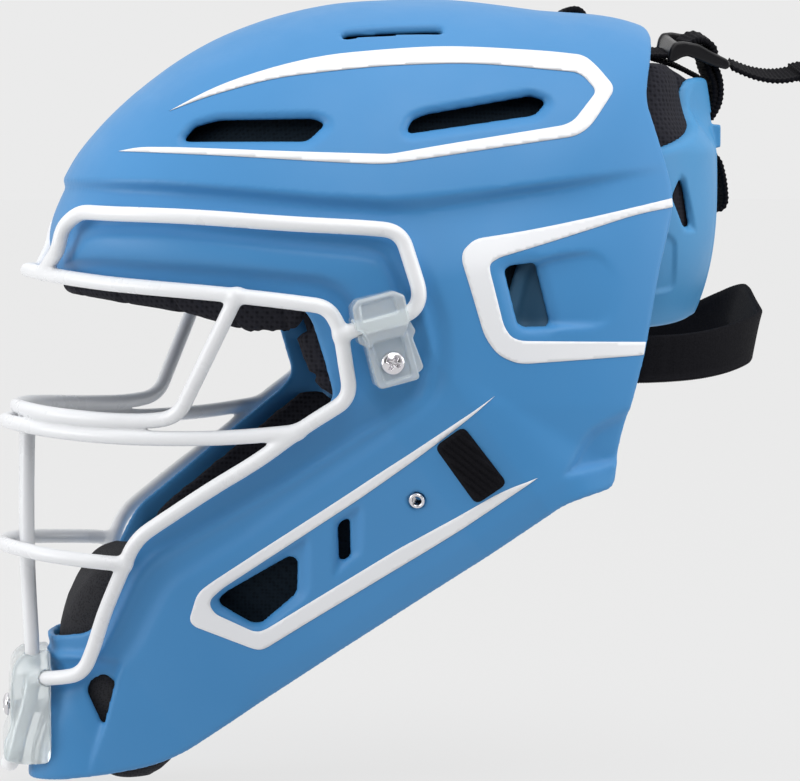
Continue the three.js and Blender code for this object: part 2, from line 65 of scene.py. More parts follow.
# ---- Driving dimensions, in millimetres: they repeat the frame's own ----
HALF_WIDTH = 108
CENTRE_Z = 20
WALL = 3.5
WIRE_R = 3
WIRE_LIFT = 4.2
BEND = 14
PLATE = dict(a=84, b=91, c=120, y=40, z=85, power=2.4, wall=2.5)
SIDE_SCREW = (-16.5, 17.5)
CHIN_SCREW_Z = -128.5
EYELET = (-4.5, -37.5)
SCREW_HOLE, EYELET_HOLE = 2.8, 3.1
SHELL_STEP = 1.2  # grid of the shell's surface
WIRE_STEP = 0.8
FAR = 99  # a distance that no rounded edge reaches

PROFILE = np.array([
    (0, 160), (25, 165), (45, 167), (53, 165), (69, 148), (90, 142), (103, 143), (114, 145),
    (122, 147), (131, 149), (138, 150.5), (145, 152.5), (151, 154), (160, 153.5), (170, 148),
    (185, 155), (205, 178), (219, 193), (224, 206), (228, 231), (233, 255), (245, 285),
    (270, 270), (300, 230), (330, 185)], float)
JAW_TAPER = np.array([(-80, 108), (0, 106), (30, 98), (61, 85), (100, 70), (136, 58), (170, 48),
                      (202, 41), (240, 37), (300, 35)], float)


# ---- Maths helpers ----
def smooth(start, end, v):
    t = np.clip((v - start) / (end - start), 0, 1)
    return t * t * (3 - 2 * t)


def profile_radius(degrees):
    """The side profile's radius about its centre: a cubic through the profile's points."""
    turns = np.concatenate([PROFILE[:, 0] - 360, PROFILE[:, 0], PROFILE[:, 0] + 360])
    radii = np.tile(PROFILE[:, 1], 3)
    slopes = np.zeros_like(radii)
    slopes[1:-1] = (radii[2:] - radii[:-2]) / (turns[2:] - turns[:-2])
    angle = np.asarray(degrees, float) % 360
    i = np.clip(np.searchsorted(turns, angle, side="right") - 1, 0, len(turns) - 2)
    span = turns[i + 1] - turns[i]
    t = (angle - turns[i]) / span
    start, end = slopes[i] * span, slopes[i + 1] * span
    rise = radii[i + 1] - radii[i]
    return radii[i] + t * start + t * t * (3 * rise - 2 * start - end) + t ** 3 * (start + end - 2 * rise)


def form_terms(y, z):
    """What the form's surface is worked out from at a place in the side view."""
    angle = np.degrees(np.arctan2(z - CENTRE_Z, y)) % 360
    jaw = smooth(175, 205, angle) * smooth(330, 290, angle)
    lower = smooth(75, 10, z)
    jaw_width = np.interp(-0.8 * y - 0.6 * (z - CENTRE_Z), JAW_TAPER[:, 0], JAW_TAPER[:, 1])
    widest = HALF_WIDTH - (HALF_WIDTH - jaw_width) * lower - 0.08 * np.maximum(0, -z)
    reach = np.hypot(y, z - CENTRE_Z)
    return widest, reach, profile_radius(angle), 2.3 + 5 * jaw, 2.3 + 0.7 * jaw


def half_width(y, z, offset=0.0):
    """Half the width of the helmet's form, moved out by offset."""
    y, z = np.asarray(y, float), np.asarray(z, float)
    widest, reach, radius, p, q = form_terms(y, z)
    return (widest + offset) * np.maximum(0, 1 - (reach / (radius + offset)) ** p) ** (1 / q)


def surface_normal(y, z):
    slope_y = (half_width(y + 1, z) - half_width(y - 1, z)) / 2
    slope_z = (half_width(y, z + 1) - half_width(y, z - 1)) / 2
    normal = np.array([1.0, -float(slope_y), -float(slope_z)])
    return normal / np.linalg.norm(normal)


def smax(a, b, radius):
    """The larger of two fields, with the edge between them rounded."""
    return np.maximum(a, b) + np.maximum(radius - np.abs(a - b), 0) ** 2 / (4 * radius)


def smin(a, b, radius):
    return -smax(-a, -b, radius)


def rounded(points, radius=2.0, steps=5, closed=True):
    """A line's points with its corners rounded. A point may give its own radius as a third number."""
    out = []
    count = len(points)
    for i, point in enumerate(points):
        here = np.array(point[:2], float)
        if not closed and i in (0, count - 1):
            out.append(here)
            continue
        before = np.array(points[i - 1][:2], float) - here
        after = np.array(points[(i + 1) % count][:2], float) - here
        own = point[2] if len(point) > 2 else radius
        trim = min(own, np.linalg.norm(before) / 2, np.linalg.norm(after) / 2)
        start = here + before / np.linalg.norm(before) * trim
        end = here + after / np.linalg.norm(after) * trim
        for t in np.linspace(0, 1, steps):
            out.append((1 - t) ** 2 * start + 2 * t * (1 - t) * here + t * t * end)
    return np.array(out)


def line_distance(line, u, v, closed=False):
    """Distance from every (u, v) to a line through points."""
    u, v = np.broadcast_arrays(u, v)
    best = np.full(np.shape(u), 1e9, np.float32)
    ends = np.roll(line, -1, axis=0) if closed else line[1:]
    for (a, b), (c, d) in zip(line, ends):
        length = (c - a) ** 2 + (d - b) ** 2 + 1e-12
        t = np.clip(((u - a) * (c - a) + (v - b) * (d - b)) / length, 0, 1)
        best = np.minimum(best, (u - a - t * (c - a)) ** 2 + (v - b - t * (d - b)) ** 2)
    return np.sqrt(best)


def outline_distance(points, u, v, radius=2.0):
    """Distance from a rounded outline, negative inside it."""
    line = rounded(points, radius)
    u, v = np.broadcast_arrays(u, v)
    inside = np.zeros(u.shape, bool)
    for (a, b), (c, d) in zip(line, np.roll(line, -1, axis=0)):
        if b != d:
            inside ^= ((b > v) != (d > v)) & (u < (c - a) * (v - b) / (d - b) + a)
    return np.where(inside, -1, 1) * line_distance(line, u, v, closed=True)


def steps_between(low, high, step):
    return np.arange(math.floor((high - low) / step) + 2) * step + low


def grid_axes(low, high, step):
    return [steps_between(a, b, step) for a, b in zip(low, high)]


def grid_over(axes):
    return np.meshgrid(*axes, indexing="ij", sparse=True)


def mirrored(half):
    """A field on the whole grid, from the half on the wearer's left."""
    return np.concatenate([half[::-1], half]).astype(np.float32)


def band(v, low, high):
    """Distance from the stretch between two heights, negative in it."""
    return np.abs(v - (low + high) / 2) - (high - low) / 2


def side_name(side):
    return "left" if side > 0 else "right"


# ---- Surfaces from fields: negative is inside ----
def sample(field, places):
    """The field between its grid points, at places given in grid steps."""
    top = np.array(field.shape) - 2
    base = np.clip(np.floor(places).astype(int), 0, top)
    t = places - base
    total = 0
    for dx in (0, 1):
        for dy in (0, 1):
            for dz in (0, 1):
                weight = 1
                for axis, d in enumerate((dx, dy, dz)):
                    weight = weight * (t[:, axis] if d else 1 - t[:, axis])
                total = total + weight * field[base[:, 0] + dx, base[:, 1] + dy, base[:, 2] + dz]
    return total


def surface_nets(field):
    """Vertices, in grid steps, and quads of a field's zero surface."""
    inside = field < 0
    shape = np.array(field.shape) - 1
    count = np.zeros(shape, np.int8)
    for dx in (0, 1):
        for dy in (0, 1):
            for dz in (0, 1):
                count += inside[dx:dx + shape[0], dy:dy + shape[1], dz:dz + shape[2]]
    cells = np.argwhere((count > 0) & (count < 8))
    index = np.full(shape, -1, np.int32)
    index[tuple(cells.T)] = np.arange(len(cells))
    total = np.zeros((len(cells), 3))
    crossings = np.zeros(len(cells))
    for axis in range(3):
        along = np.eye(3, dtype=int)[axis]
        others = [np.eye(3, dtype=int)[k] for k in range(3) if k != axis]
        for corner in (0 * along, others[0], others[1], others[0] + others[1]):
            first = field[tuple((cells + corner).T)]
            second = field[tuple((cells + corner + along).T)]
            crossed = (first < 0) != (second < 0)
            t = first[crossed] / (first[crossed] - second[crossed])
            total[crossed] += corner + along * t[:, None]
            crossings[crossed] += 1
    places = cells + total / crossings[:, None]
    for _ in range(3):  # settle on the surface itself
        slope = np.stack([sample(field, places + e) - sample(field, places - e) for e in np.eye(3) * 0.5], 1)
        size = np.maximum((slope ** 2).sum(1), 1e-6)
        move = -sample(field, places)[:, None] * slope / size[:, None]
        places = np.clip(places + np.clip(move, -0.4, 0.4), cells, cells + 1)
    quads = []
    for axis in range(3):
        u, v = [k for k in range(3) if k != axis]
        first = np.take(inside, range(field.shape[axis] - 1), axis)
        second = np.take(inside, range(1, field.shape[axis]), axis)
        edges = np.argwhere(first != second)
        at_u, at_v = edges[:, u], edges[:, v]
        edges = edges[(at_u > 0) & (at_v > 0) & (at_u < shape[u]) & (at_v < shape[v])]
        leaving = first[tuple(edges.T)] != (axis == 1)
        step_u, step_v = np.eye(3, dtype=int)[u], np.eye(3, dtype=int)[v]
        corners = ((0, 0), (1, 0), (1, 1), (0, 1))
        quad = np.stack([index[tuple((edges - a * step_u - b * step_v).T)] for a, b in corners], 1)
        quads.append(np.where(leaving[:, None], quad, quad[:, ::-1]))
    return places, np.concatenate(quads)


def new_object(name, verts, faces, material=None, smooth_faces=True):
    mesh = bpy.data.meshes.new(name)
    mesh.from_pydata((np.asarray(verts) * MM).tolist(), [], [list(map(int, f)) for f in faces])
    if smooth_faces:
        mesh.shade_smooth()
    if material:
        mesh.materials.append(material)
    piece = bpy.data.objects.new(name, mesh)
    bpy.context.scene.collection.objects.link(piece)
    return piece


def ring_faces(rings, around, closed=True):
    """Quads between rings of points, and from the last ring to the first where closed."""
    return [(i * around + j, i * around + (j + 1) % around,
             (i + 1) % rings * around + (j + 1) % around, (i + 1) % rings * around + j)
            for i in range(rings if closed else rings - 1) for j in range(around)]


def from_field(name, low, high, step, field_of, material=None):
    """A closed piece from a field worked out on a grid between two corners."""
    axes = grid_axes(low, high, step)
    x, y, z = grid_over(axes)
    field = np.broadcast_to(field_of(x, y, z), [len(a) for a in axes]).astype(np.float32)
    places, quads = surface_nets(field)
    return new_object(name, np.array(low) + places * step, quads, material)


def finish_piece(piece, body, nodes=()):
    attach(piece, body)
    if nodes:
        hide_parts(*nodes)
    return piece


# ---- Materials ----
def new_material(name, colour, roughness=0.5, metallic=0.0):
    material = bpy.data.materials.new(name)
    material.use_nodes = True
    shader = material.node_tree.nodes["Principled BSDF"]
    shader.inputs["Base Color"].default_value = (*colour, 1)
    shader.inputs["Roughness"].default_value = roughness
    shader.inputs["Metallic"].default_value = metallic
    return material


def nodes_of(material):
    tree = material.node_tree
    return tree.nodes, tree.links, tree.nodes["Principled BSDF"]


def noise_node(material, scale, detail=3.0, roughness=0.5):
    nodes, links, _ = nodes_of(material)
    place = nodes.new("ShaderNodeTexCoord")
    node = nodes.new("ShaderNodeTexNoise")
    node.inputs["Scale"].default_value = scale
    node.inputs["Detail"].default_value = detail
    node.inputs["Roughness"].default_value = roughness
    links.new(place.outputs["Object"], node.inputs["Vector"])
    return node


def tune(material, values):
    """Set the shader's own sockets."""
    for socket, value in values.items():
        nodes_of(material)[2].inputs[socket].default_value = value


def set_stops(ramp, stops):
    elements = ramp.color_ramp.elements
    while len(elements) < len(stops):
        elements.new(0.5)
    for element, (position, colour) in zip(elements, stops):
        element.position = position
        element.color = (*colour, 1)


def ramp_to(material, socket, source, low, high, span=(0.3, 0.7)):
    """Run one of the shader's sockets from low to high as a pattern goes over span."""
    nodes, links, shader = nodes_of(material)
    ramp = nodes.new("ShaderNodeValToRGB")
    set_stops(ramp, list(zip(span, (low, high))))
    links.new(source, ramp.inputs["Fac"])
    links.new(ramp.outputs["Color"], shader.inputs[socket])


def bump_node(material, source, strength, distance, normal=None):
    nodes, links, _ = nodes_of(material)
    bump = nodes.new("ShaderNodeBump")
    bump.inputs["Strength"].default_value = strength
    bump.inputs["Distance"].default_value = distance
    links.new(source, bump.inputs["Height"])
    if normal:
        links.new(normal, bump.inputs["Normal"])
    return bump


def grey(value):
    return (value, value, value)


def painted(name, dark, light, roughness=(0.42, 0.52), grain=2600, depth=0.00006):
    """Soft matte paint: a faint drift of colour, fine grain and uneven gloss."""
    material = new_material(name, light)
    _, links, shader = nodes_of(material)
    drift = noise_node(material, 9, 4)
    ramp_to(material, "Base Color", drift.outputs["Fac"], dark, light)
    sheen = noise_node(material, 60, 5, 0.6)
    ramp_to(material, "Roughness", sheen.outputs["Fac"], *map(grey, roughness))
    fine = noise_node(material, grain, 2)
    bump = bump_node(material, fine.outputs["Fac"], 0.25, depth)
    links.new(bump.outputs["Normal"], shader.inputs["Normal"])
    return material


def cloth(name, dark, light, pitch, depth, spread=0.2):
    """Cloth: small dimples a pitch apart, with fuzz over them and very little sheen."""
    material = new_material(name, light)
    nodes, links, shader = nodes_of(material)
    tune(material, {"Sheen Weight": 0.01, "Sheen Roughness": 0.5, "Specular IOR Level": 0.06})
    place = nodes.new("ShaderNodeTexCoord")
    loops = nodes.new("ShaderNodeTexVoronoi")
    loops.inputs["Scale"].default_value = 1 / (pitch * MM)
    loops.inputs["Randomness"].default_value = spread
    links.new(place.outputs["Object"], loops.inputs["Vector"])
    ramp_to(material, "Base Color", loops.outputs["Distance"], dark, light, (0.05, 0.55))
    fuzz = noise_node(material, 1500, 3, 0.7)
    ramp_to(material, "Roughness", fuzz.outputs["Fac"], grey(0.72), grey(0.95))
    first = bump_node(material, loops.outputs["Distance"], 0.8, depth * MM)
    second = bump_node(material, fuzz.outputs["Fac"], 0.35, 0.0002, first.outputs["Normal"])
    links.new(second.outputs["Normal"], shader.inputs["Normal"])
    return material


def moulded(name, dark, light, roughness, metallic=0.0, grain=1800, depth=0.00004):
    """A moulded or turned surface: fine grain and uneven gloss."""
    material = painted(name, dark, light, roughness, grain, depth)
    tune(material, {"Metallic": metallic})
    return material


def clear_plastic():
    """Milky clear plastic."""
    material = moulded("clip_plastic", (0.86, 0.92, 0.94), (0.92, 0.97, 0.98), (0.05, 0.12), grain=400)
    tune(material, {"Transmission Weight": 0.68, "IOR": 1.4})
    return material


BLUE = painted("shell_paint", (0.046, 0.212, 0.460), (0.054, 0.232, 0.495))
PLATE_BLUE = painted("plate_paint", (0.050, 0.228, 0.46), (0.058, 0.252, 0.50), (0.45, 0.55))
for paint in (BLUE, PLATE_BLUE):
    tune(paint, {"Specular IOR Level": 0.32})
# The ear vent's ramp is moulded in the shell's blue; this much darker blue is painted shade for its shadowed
# floor.
RAMP_PAINTED_SHADE_BLUE = painted("ramp_painted_shade", (0.010, 0.066, 0.130), (0.014, 0.082, 0.160), (0.6, 0.7))
WHITE_PAINT = painted("stripe_paint", (0.71, 0.72, 0.75), (0.77, 0.78, 0.80), (0.38, 0.46))
WHITE_COAT = painted("cage_coat", (0.69, 0.70, 0.72), (0.76, 0.77, 0.79), (0.25, 0.34), 900, 0.0001)
STEEL = moulded("screw_steel", (0.62, 0.60, 0.64), (0.76, 0.75, 0.77), (0.12, 0.26), 1.0, 700)
NUT_STEEL = moulded("nut_steel", (0.42, 0.42, 0.43), (0.55, 0.55, 0.56), (0.3, 0.45), 1.0, 500)
BLACK_PLASTIC = moulded("buckle_plastic", (0.007, 0.007, 0.008), (0.012, 0.012, 0.014), (0.22, 0.34),
                        grain=1500)
tune(BLACK_PLASTIC, {"Specular IOR Level": 0.22})
WEBBING = cloth("strap_webbing", (0.002, 0.002, 0.003), (0.007, 0.007, 0.009), 0.7, 0.15, 0.6)
MESH_FABRIC = cloth("pad_mesh_cloth", (0.004, 0.004, 0.006), (0.020, 0.020, 0.026), 1.9, 0.5, 0.1)
KNIT_FABRIC = cloth("chin_knit_cloth", (0.014, 0.014, 0.016), (0.034, 0.034, 0.038), 0.9, 0.3, 0.8)
LINING = cloth("vent_lining_cloth", (0.003, 0.005, 0.008), (0.008, 0.014, 0.021), 1.6, 0.3, 0.3)
CLEAR = clear_plastic()

# ---- Outlines in the side view, as (y, z) ----
SHELL_SIDE = [
    (101, 185), (100, 148, 4), (92, 128, 10), (90, 119, 8), (98.5, 86, 10), (98.5, 76, 8), (91.7, 52),
    (85.6, 20), (80, 0), (76, -13.5), (73, -33, 4), (62, -36, 4), (52, -39.5, 10), (-93, -145.5, 8),
    (-106, -151, 6), (-124, -155, 6), (-142, -157.5), (-185, -160), (-185, -101), (-147, -99),
    (-130, -95.5, 4), (-112, -59.5, 10), (-107, -51.5, 8), (-41, -2.4, 6), (-36.8, 3, 5), (-42.3, 22.7, 8),
    (-46.6, 35, 5), (-53, 40.6, 6), (-70, 42.5), (-108, 44.7), (-185, 47.5), (-185, 185)]
BROW_VENT = [(-94, 102.8), (-89, 108.5), (-80, 111), (-44, 111.6), (-39.5, 109.5), (-47, 102.8)]
CROWN_VENT = [(-8.5, 105.7), (-6, 111), (0, 113.3), (42.5, 120.8), (48.5, 118.5), (43.3, 113.2)]
EAR_VENT = [(28, 53), (30.5, 54.6), (39.5, 55.7), (41, 54.5), (46.4, 32.7), (45, 31), (35, 31), (33, 33.2)]
JAW_VENT = [(-79.5, -80), (-76.5, -77), (-52, -61.5), (-49, -63), (-49, -76.8), (-62.5, -89.6),
            (-66.5, -89.6), (-78.8, -82.2)]
JAW_SLOT = [(-34, -48), (-29.6, -45), (-28.6, -61.3), (-33, -63.2)]
CHIN_VENT = [(-120.4, -115.3), (-124.6, -112.4), (-130, -115.6), (-131.5, -120), (-125, -134)]
TOP_SLOT = [(52, -30), (57, -30), (58, 10), (53, 10)]
PANEL = [(-142, 52), (-138.5, 61), (-134, 66.8), (-126, 69), (-104, 69), (-60, 64.2), (-27, 61), (-19.5, 59),
         (-16.5, 54), (-11.8, 43), (-14, 34), (-30.5, 30), (-32, 39), (-36, 44.5), (-43, 47.6), (-84, 51.8),
         (-126, 54)]
FRAME_SOFT = [(-185, 74), (-104, 74), (-12, 70), (-5, 60), (-1, 48), (4.5, 36), (6, 18), (3, 4.6),
              (-12, -9), (-49, -37), (-71, -55), (-99, -74), (-104, -84), (-110, -98), (-117, -108),
              (-140, -120), (-185, -120)]
FRAME_CRISP = [(-185, 74), (-104, 74), (-18, 66), (-11, 56), (-5, 40), (0, 20), (-2.8, 3), (-19.7, -7.5),
               (-49.5, -29), (-87.6, -53), (-105.3, -64), (-111, -71), (-118, -88), (-127, -106),
               (-185, -110)]
EAR_SCOOP = [(39, 56.6), (50.5, 59.6), (66, 61), (80, 46), (70, 30), (46.6, 29.6), (36, 29.2), (32, 32)]
REAR_RECESS = [(95, 6), (79.5, -1.4), (69, -6), (62, -10), (59, -14.5), (55, -22), (50.4, -28.6),
               (75, -24), (95, -20)]
VENT_RECESS = [(-84, -80), (-79.6, -74.6), (-47, -53.2), (-44.4, -54.6), (-43.8, -78), (-60.5, -92),
               (-66.8, -93), (-82, -85)]
SLOT_RECESS = [(-36.2, -46), (-26, -39.5), (-24.4, -42), (-24.3, -60.9), (-29.3, -64), (-35.6, -71)]
CHIN_FRONT = [(-116.5, -106), (-120.2, -115), (-124.3, -133.3), (-129.4, -151), (-132, -170), (-190, -170),
              (-190, -106)]
LEDGE_TOP = [(-145, 88.5), (-103.6, 87.8), (-69.7, 85.1), (-43.1, 82.8), (-16.2, 81.6), (19.1, 84.7),
             (51, 88.4), (98, 95)]
LEDGE_BOTTOM = [(-145, 83.5), (-103.8, 81.5), (-69.9, 78.5), (-43.3, 75.5), (-16.5, 73.2), (-4, 73.4),
                (34.7, 80.1), (67.3, 85), (98, 90)]
DOME_CREASE = [(-104, 123), (-98, 128.3), (-84.4, 135.9), (-57, 145.5)]
JAW_CREASE = [(60, -22), (29.3, -45), (-2.1, -68.3), (-35.8, -94.5), (-53.5, -106.9), (-74, -118)]


def ledge_relief(y, z):
    """The dome overhangs the brow: it swells down to a lip, then steps in at a crisp crease."""
    top = np.interp(y, *np.array(LEDGE_TOP).T)
    bottom = np.interp(y, *np.array(LEDGE_BOTTOM).T)
    lip = 1.3 * smooth(60, 0, z - top)
    drop = 1.3 - 4.7 * smooth(1, 0.12, (z - bottom) / (top - bottom))
    below = -3.4 * smooth(-26, 0, z - bottom)
    shape = np.where(z > top, lip, np.where(z > bottom, drop, below))
    fade = smooth(104, 40, y) * (0.55 + 0.45 * smooth(-140, -90, y)) * smooth(-170, -130, y)
    return shape * fade


def shell_relief(y, z):
    """How far the shell's outer face stands out from the plain form, at a place in the side view."""
    relief = ledge_relief(y, z)
    panel = outline_distance(PANEL, y, z, 5)
    relief += 2.9 * smooth(0.8, -4.2, panel) - 1.3 * smooth(5, 0.8, panel)
    soft = outline_distance(FRAME_SOFT, y, z, 8)
    crisp = outline_distance(FRAME_CRISP, y, z, 6)
    stepped_in = 2.1 * smooth(3, -4, soft) + 2.7 * smooth(0.3, -4, crisp) - 1.0 * smooth(3.5, 0.2, crisp)
    relief += -stepped_in * smooth(66, 40, z)
    hole = outline_distance(EAR_VENT, y, z)
    scoop = outline_distance(EAR_SCOOP, y, z, 6)
    relief += -3.4 * smooth(0.4, -3.0, scoop) * smooth(78, 44, y) - 1.2 * smooth(4.5, 0.5, hole)
    recess = outline_distance(REAR_RECESS, y, z, 2)
    relief += -3.0 * smooth(0.6, -4, recess)
    relief += -2.2 * smooth(0.3, -3.4, outline_distance(VENT_RECESS, y, z, 5))
    relief += -2.0 * smooth(0.3, -3.2, outline_distance(SLOT_RECESS, y, z, 3))
    relief += -0.8 * smooth(3.2, 0, outline_distance(JAW_VENT, y, z))
    for vent in (BROW_VENT, CROWN_VENT):
        relief += -2.0 * smooth(3.6, 0.2, outline_distance(vent, y, z))
    chin = outline_distance(CHIN_FRONT, y, z, 3)
    chin_ends = smooth(-155, -128, y) * smooth(-160, -140, z) * smooth(-98, -112, z)
    relief += -1.9 * smooth(0.4, -2.2, chin) * chin_ends
    relief += -1.2 * smooth(9, 0, outline_distance(CHIN_VENT, y, z)) * smooth(0.5, -1, chin)
    crease = np.array(DOME_CREASE, float)
    relief += -0.6 * np.exp(-(line_distance(crease, y, z) / 3.2) ** 2)
    low = np.interp(y, *np.array(JAW_CREASE)[::-1].T) - z
    relief += -0.10 * np.clip(low, 0, 12) * smooth(-74, -60, y) * smooth(62, 50, y)
    return relief


def shell_fields():
    """The distance from the plain form on one half's grid, and the grid's axes."""
    h = SHELL_STEP
    xs = (np.arange(int(112 / h)) + 0.5) * h
    ys, zs = steps_between(-162, 106, h), steps_between(-163, 168, h)
    y, z = np.meshgrid(ys, zs, indexing="ij")
    widest, reach, radius, p, q = form_terms(y, z)
    level = (xs[:, None, None] / widest) ** q + (reach / radius) ** p - 1
    gradients = np.gradient(level.astype(np.float32), h)
    size = np.sqrt(sum(g * g for g in gradients))
    distance = np.clip(level / np.maximum(size, 1e-4), -14, 14).astype(np.float32)
    return distance, xs, ys, zs


FORM_DISTANCE, FORM_X, FORM_Y, FORM_Z = shell_fields()
SIDE_Y, SIDE_Z = np.meshgrid(FORM_Y, FORM_Z, indexing="ij")
RELIEF = smax(shell_relief(SIDE_Y, SIDE_Z), -5.0, 1.0)
SKIN = FORM_DISTANCE - RELIEF


def build_shell():
    x, y, z = grid_over((FORM_X, FORM_Y, FORM_Z))
    inside = -(FORM_DISTANCE - np.minimum(RELIEF, 0) + WALL)
    wall = smax(SKIN, inside, 1.0)
    wall = smax(wall, outline_distance(SHELL_SIDE, SIDE_Y, SIDE_Z, 5)[None], 1.6)
    for vent in (BROW_VENT, CROWN_VENT, EAR_VENT, JAW_VENT, JAW_SLOT):
        wall = smax(wall, np.where(x > 45, -outline_distance(vent, SIDE_Y, SIDE_Z)[None], -FAR), 1.4)
    wall = smax(wall, np.where(x > 16, -outline_distance(CHIN_VENT, SIDE_Y, SIDE_Z)[None], -FAR), 1.2)
    top_x, top_y = np.meshgrid(FORM_X, FORM_Y, indexing="ij")
    slot = outline_distance(TOP_SLOT, top_x, top_y)[:, :, None]
    wall = smax(wall, np.where(z > 120, -slot, -FAR), 1.2)
    for (cy, cz), hole in ((SIDE_SCREW, SCREW_HOLE), (EYELET, EYELET_HOLE)):
        wall = smax(wall, np.where(x > 45, hole - np.hypot(y - cy, z - cz), -FAR), 0.6)
    wall = smax(wall, np.where(y < -130, SCREW_HOLE - np.hypot(x, z - CHIN_SCREW_Z), -FAR), 0.6)
    places, quads = surface_nets(mirrored(wall))
    origin = np.array([-FORM_X[-1], FORM_Y[0], FORM_Z[0]])
    piece = new_object("shell_surface", origin + places * SHELL_STEP, quads, BLUE)
    return finish_piece(piece, "shell", ["front_shell"])


def skin_distance(x, y, z):
    """Distance outside the shell's outer skin."""
    x, y, z = (np.ravel(v) for v in np.broadcast_arrays(np.abs(x), y, z))
    places = [x / SHELL_STEP - 0.5, (y - FORM_Y[0]) / SHELL_STEP, (z - FORM_Z[0]) / SHELL_STEP]
    return sample(SKIN, np.stack(places, 1))


def skin_x(y, z, lift):
    """Where the shell's outer skin is, on the wearer's left, at places in the side view."""
    low, high = np.full(y.shape, 8.0), np.full(y.shape, 111.0)
    for _ in range(22):
        middle = (low + high) / 2
        outside = skin_distance(middle, y, z) > lift
        high = np.where(outside, middle, high)
        low = np.where(outside, low, middle)
    return (low + high) / 2


def skin_sheet(name, line, spacing, lift, depth, material, side=0):
    """A thin closed piece that lies on the skin inside an outline, on one side or on both."""
    keep = np.linalg.norm(line - np.roll(line, 1, axis=0), axis=1) > 0.05
    line = line[keep]
    edge = []
    for a, b in zip(line, np.roll(line, -1, axis=0)):
        count = max(1, math.ceil(np.linalg.norm(b - a) / spacing))
        edge += [a + (b - a) * i / count for i in range(count)]
    low, high = line.min(0), line.max(0)
    rows = np.arange(low[1], high[1], spacing * 0.87)
    grid = np.array([(u + (i % 2) * spacing / 2, v) for i, v in enumerate(rows)
                     for u in np.arange(low[0], high[0], spacing)])
    distance = outline_distance(line, grid[:, 0], grid[:, 1], 0.01)
    points = np.concatenate([edge, grid[distance < -spacing * 0.55]])
    corners = [Vector((float(u), float(v))) for u, v in points]
    verts, _, faces, *_ = delaunay_2d_cdt(corners, [], [list(range(len(edge)))], 1, 1e-4)
    flat = np.array([tuple(v) for v in verts])
    y, z = flat[:, 0], flat[:, 1]
    top = np.stack([skin_x(y, z, lift(y, z)), y, z], 1)
    under = np.stack([skin_x(y, z, -depth), y, z], 1)
    size = len(flat)
    used = dict.fromkeys((a, b) for face in faces for a, b in zip(face, face[1:] + face[:1]))
    rim = [(a, b) for a, b in used if (b, a) not in used]
    closed = [tuple(f) for f in faces] + [tuple(size + i for i in reversed(f)) for f in faces]
    closed += [(b, a, a + size, b + size) for a, b in rim]
    verts = np.concatenate([top, under])
    all_verts, all_faces = [], []
    for s in ((1, -1) if side == 0 else (side,)):
        start = len(all_verts) * len(verts)
        all_verts.append(verts * [s, 1, 1])
        all_faces += [tuple(start + i for i in (f if s > 0 else reversed(f))) for f in closed]
    return new_object(name, np.concatenate(all_verts), all_faces, material)


# ---- Painted stripes on the skin, as (y, z, corner radius) ----
STRIPES = {
    "stripe_crown": [
        (-118.8, 99.2, 0), (-82.4, 97.5), (-38.8, 94.8), (-20.8, 94), (-13.4, 94.4), (28.7, 100.7),
        (58.6, 105), (64.6, 108.8), (75.6, 122.5), (76, 125.4), (70.3, 133.4), (66.2, 137.5),
        (52.3, 139.1), (25, 140.5),
        (8.4, 140.8), (-8.1, 139.9), (-37.4, 137.3), (-58.6, 132.4), (-80.8, 124.9), (-98.8, 115.1, 0),
        (-84.9, 120.5), (-59, 127.9), (-36.5, 130.6), (-16.9, 132.6), (-0.6, 133.4), (15.9, 133.9),
        (32, 133.2), (52.4, 131.3), (61.6, 130.5), (64.6, 128.7), (68, 124.1), (68.1, 122.1),
        (58.3, 111.3), (54.1, 109.3),
        (4.6, 101.4), (-13.2, 98.3), (-16.7, 97.9), (-53.6, 98.9), (-96.8, 100.7), (-111.3, 100.8)],
    "stripe_ear": [
        (98, 80.6, 0.5), (60.6, 72.6), (36.6, 68), (16.5, 65), (11.7, 60.4), (11.2, 56.5), (20.1, 26.7),
        (25.6, 19.7), (32.4, 16.9), (36.3, 16.5), (84.7, 19.2, 0.5), (85.6, 24.3, 0.5), (34.3, 25.4),
        (30.3, 27), (27.5, 31.3), (22.1, 52.6), (22.1, 55.4), (25.7, 57.8), (46.4, 63.7), (82.4, 74.4),
        (98.2, 77.1, 0.5)],
    "stripe_jaw": [
        (24.1, 4.1, 0), (-19, -26.7), (-34.2, -38), (-83.2, -73), (-88.3, -77.3), (-91.1, -87.7),
        (-90.8, -89.6), (-89, -91.4), (-66.4, -100), (-63.5, -100.6), (-60.9, -99.7), (-9.9, -64.9),
        (6.8, -53.4), (33.1, -34.2), (41.3, -28.2, 0), (28.1, -33.4), (-4.6, -53.7), (-10.2, -57.1),
        (-60.7, -91.7), (-63.6, -93),
        (-66.6, -92.7), (-81.2, -85.9), (-83.3, -82.6), (-83.1, -79.9), (-79.1, -75.8), (-27.1, -37.9),
        (-18.8, -31.4), (7.1, -10.8)],
}


def build_stripes():
    for name, points in STRIPES.items():
        line = rounded(points, 20)
        piece = skin_sheet(name, line, 1.2, lambda y, z: 0.22, 0.3, WHITE_PAINT)
        finish_piece(piece, "shell")


# ---- The cage: welded wires, on the wearer's left from the middle or the front ----
def on_shell(y, z):
    """A wire's centre where the cage lies on the shell."""
    return (float(half_width(y, z)) + WIRE_LIFT / surface_normal(y, z)[0], y, z)


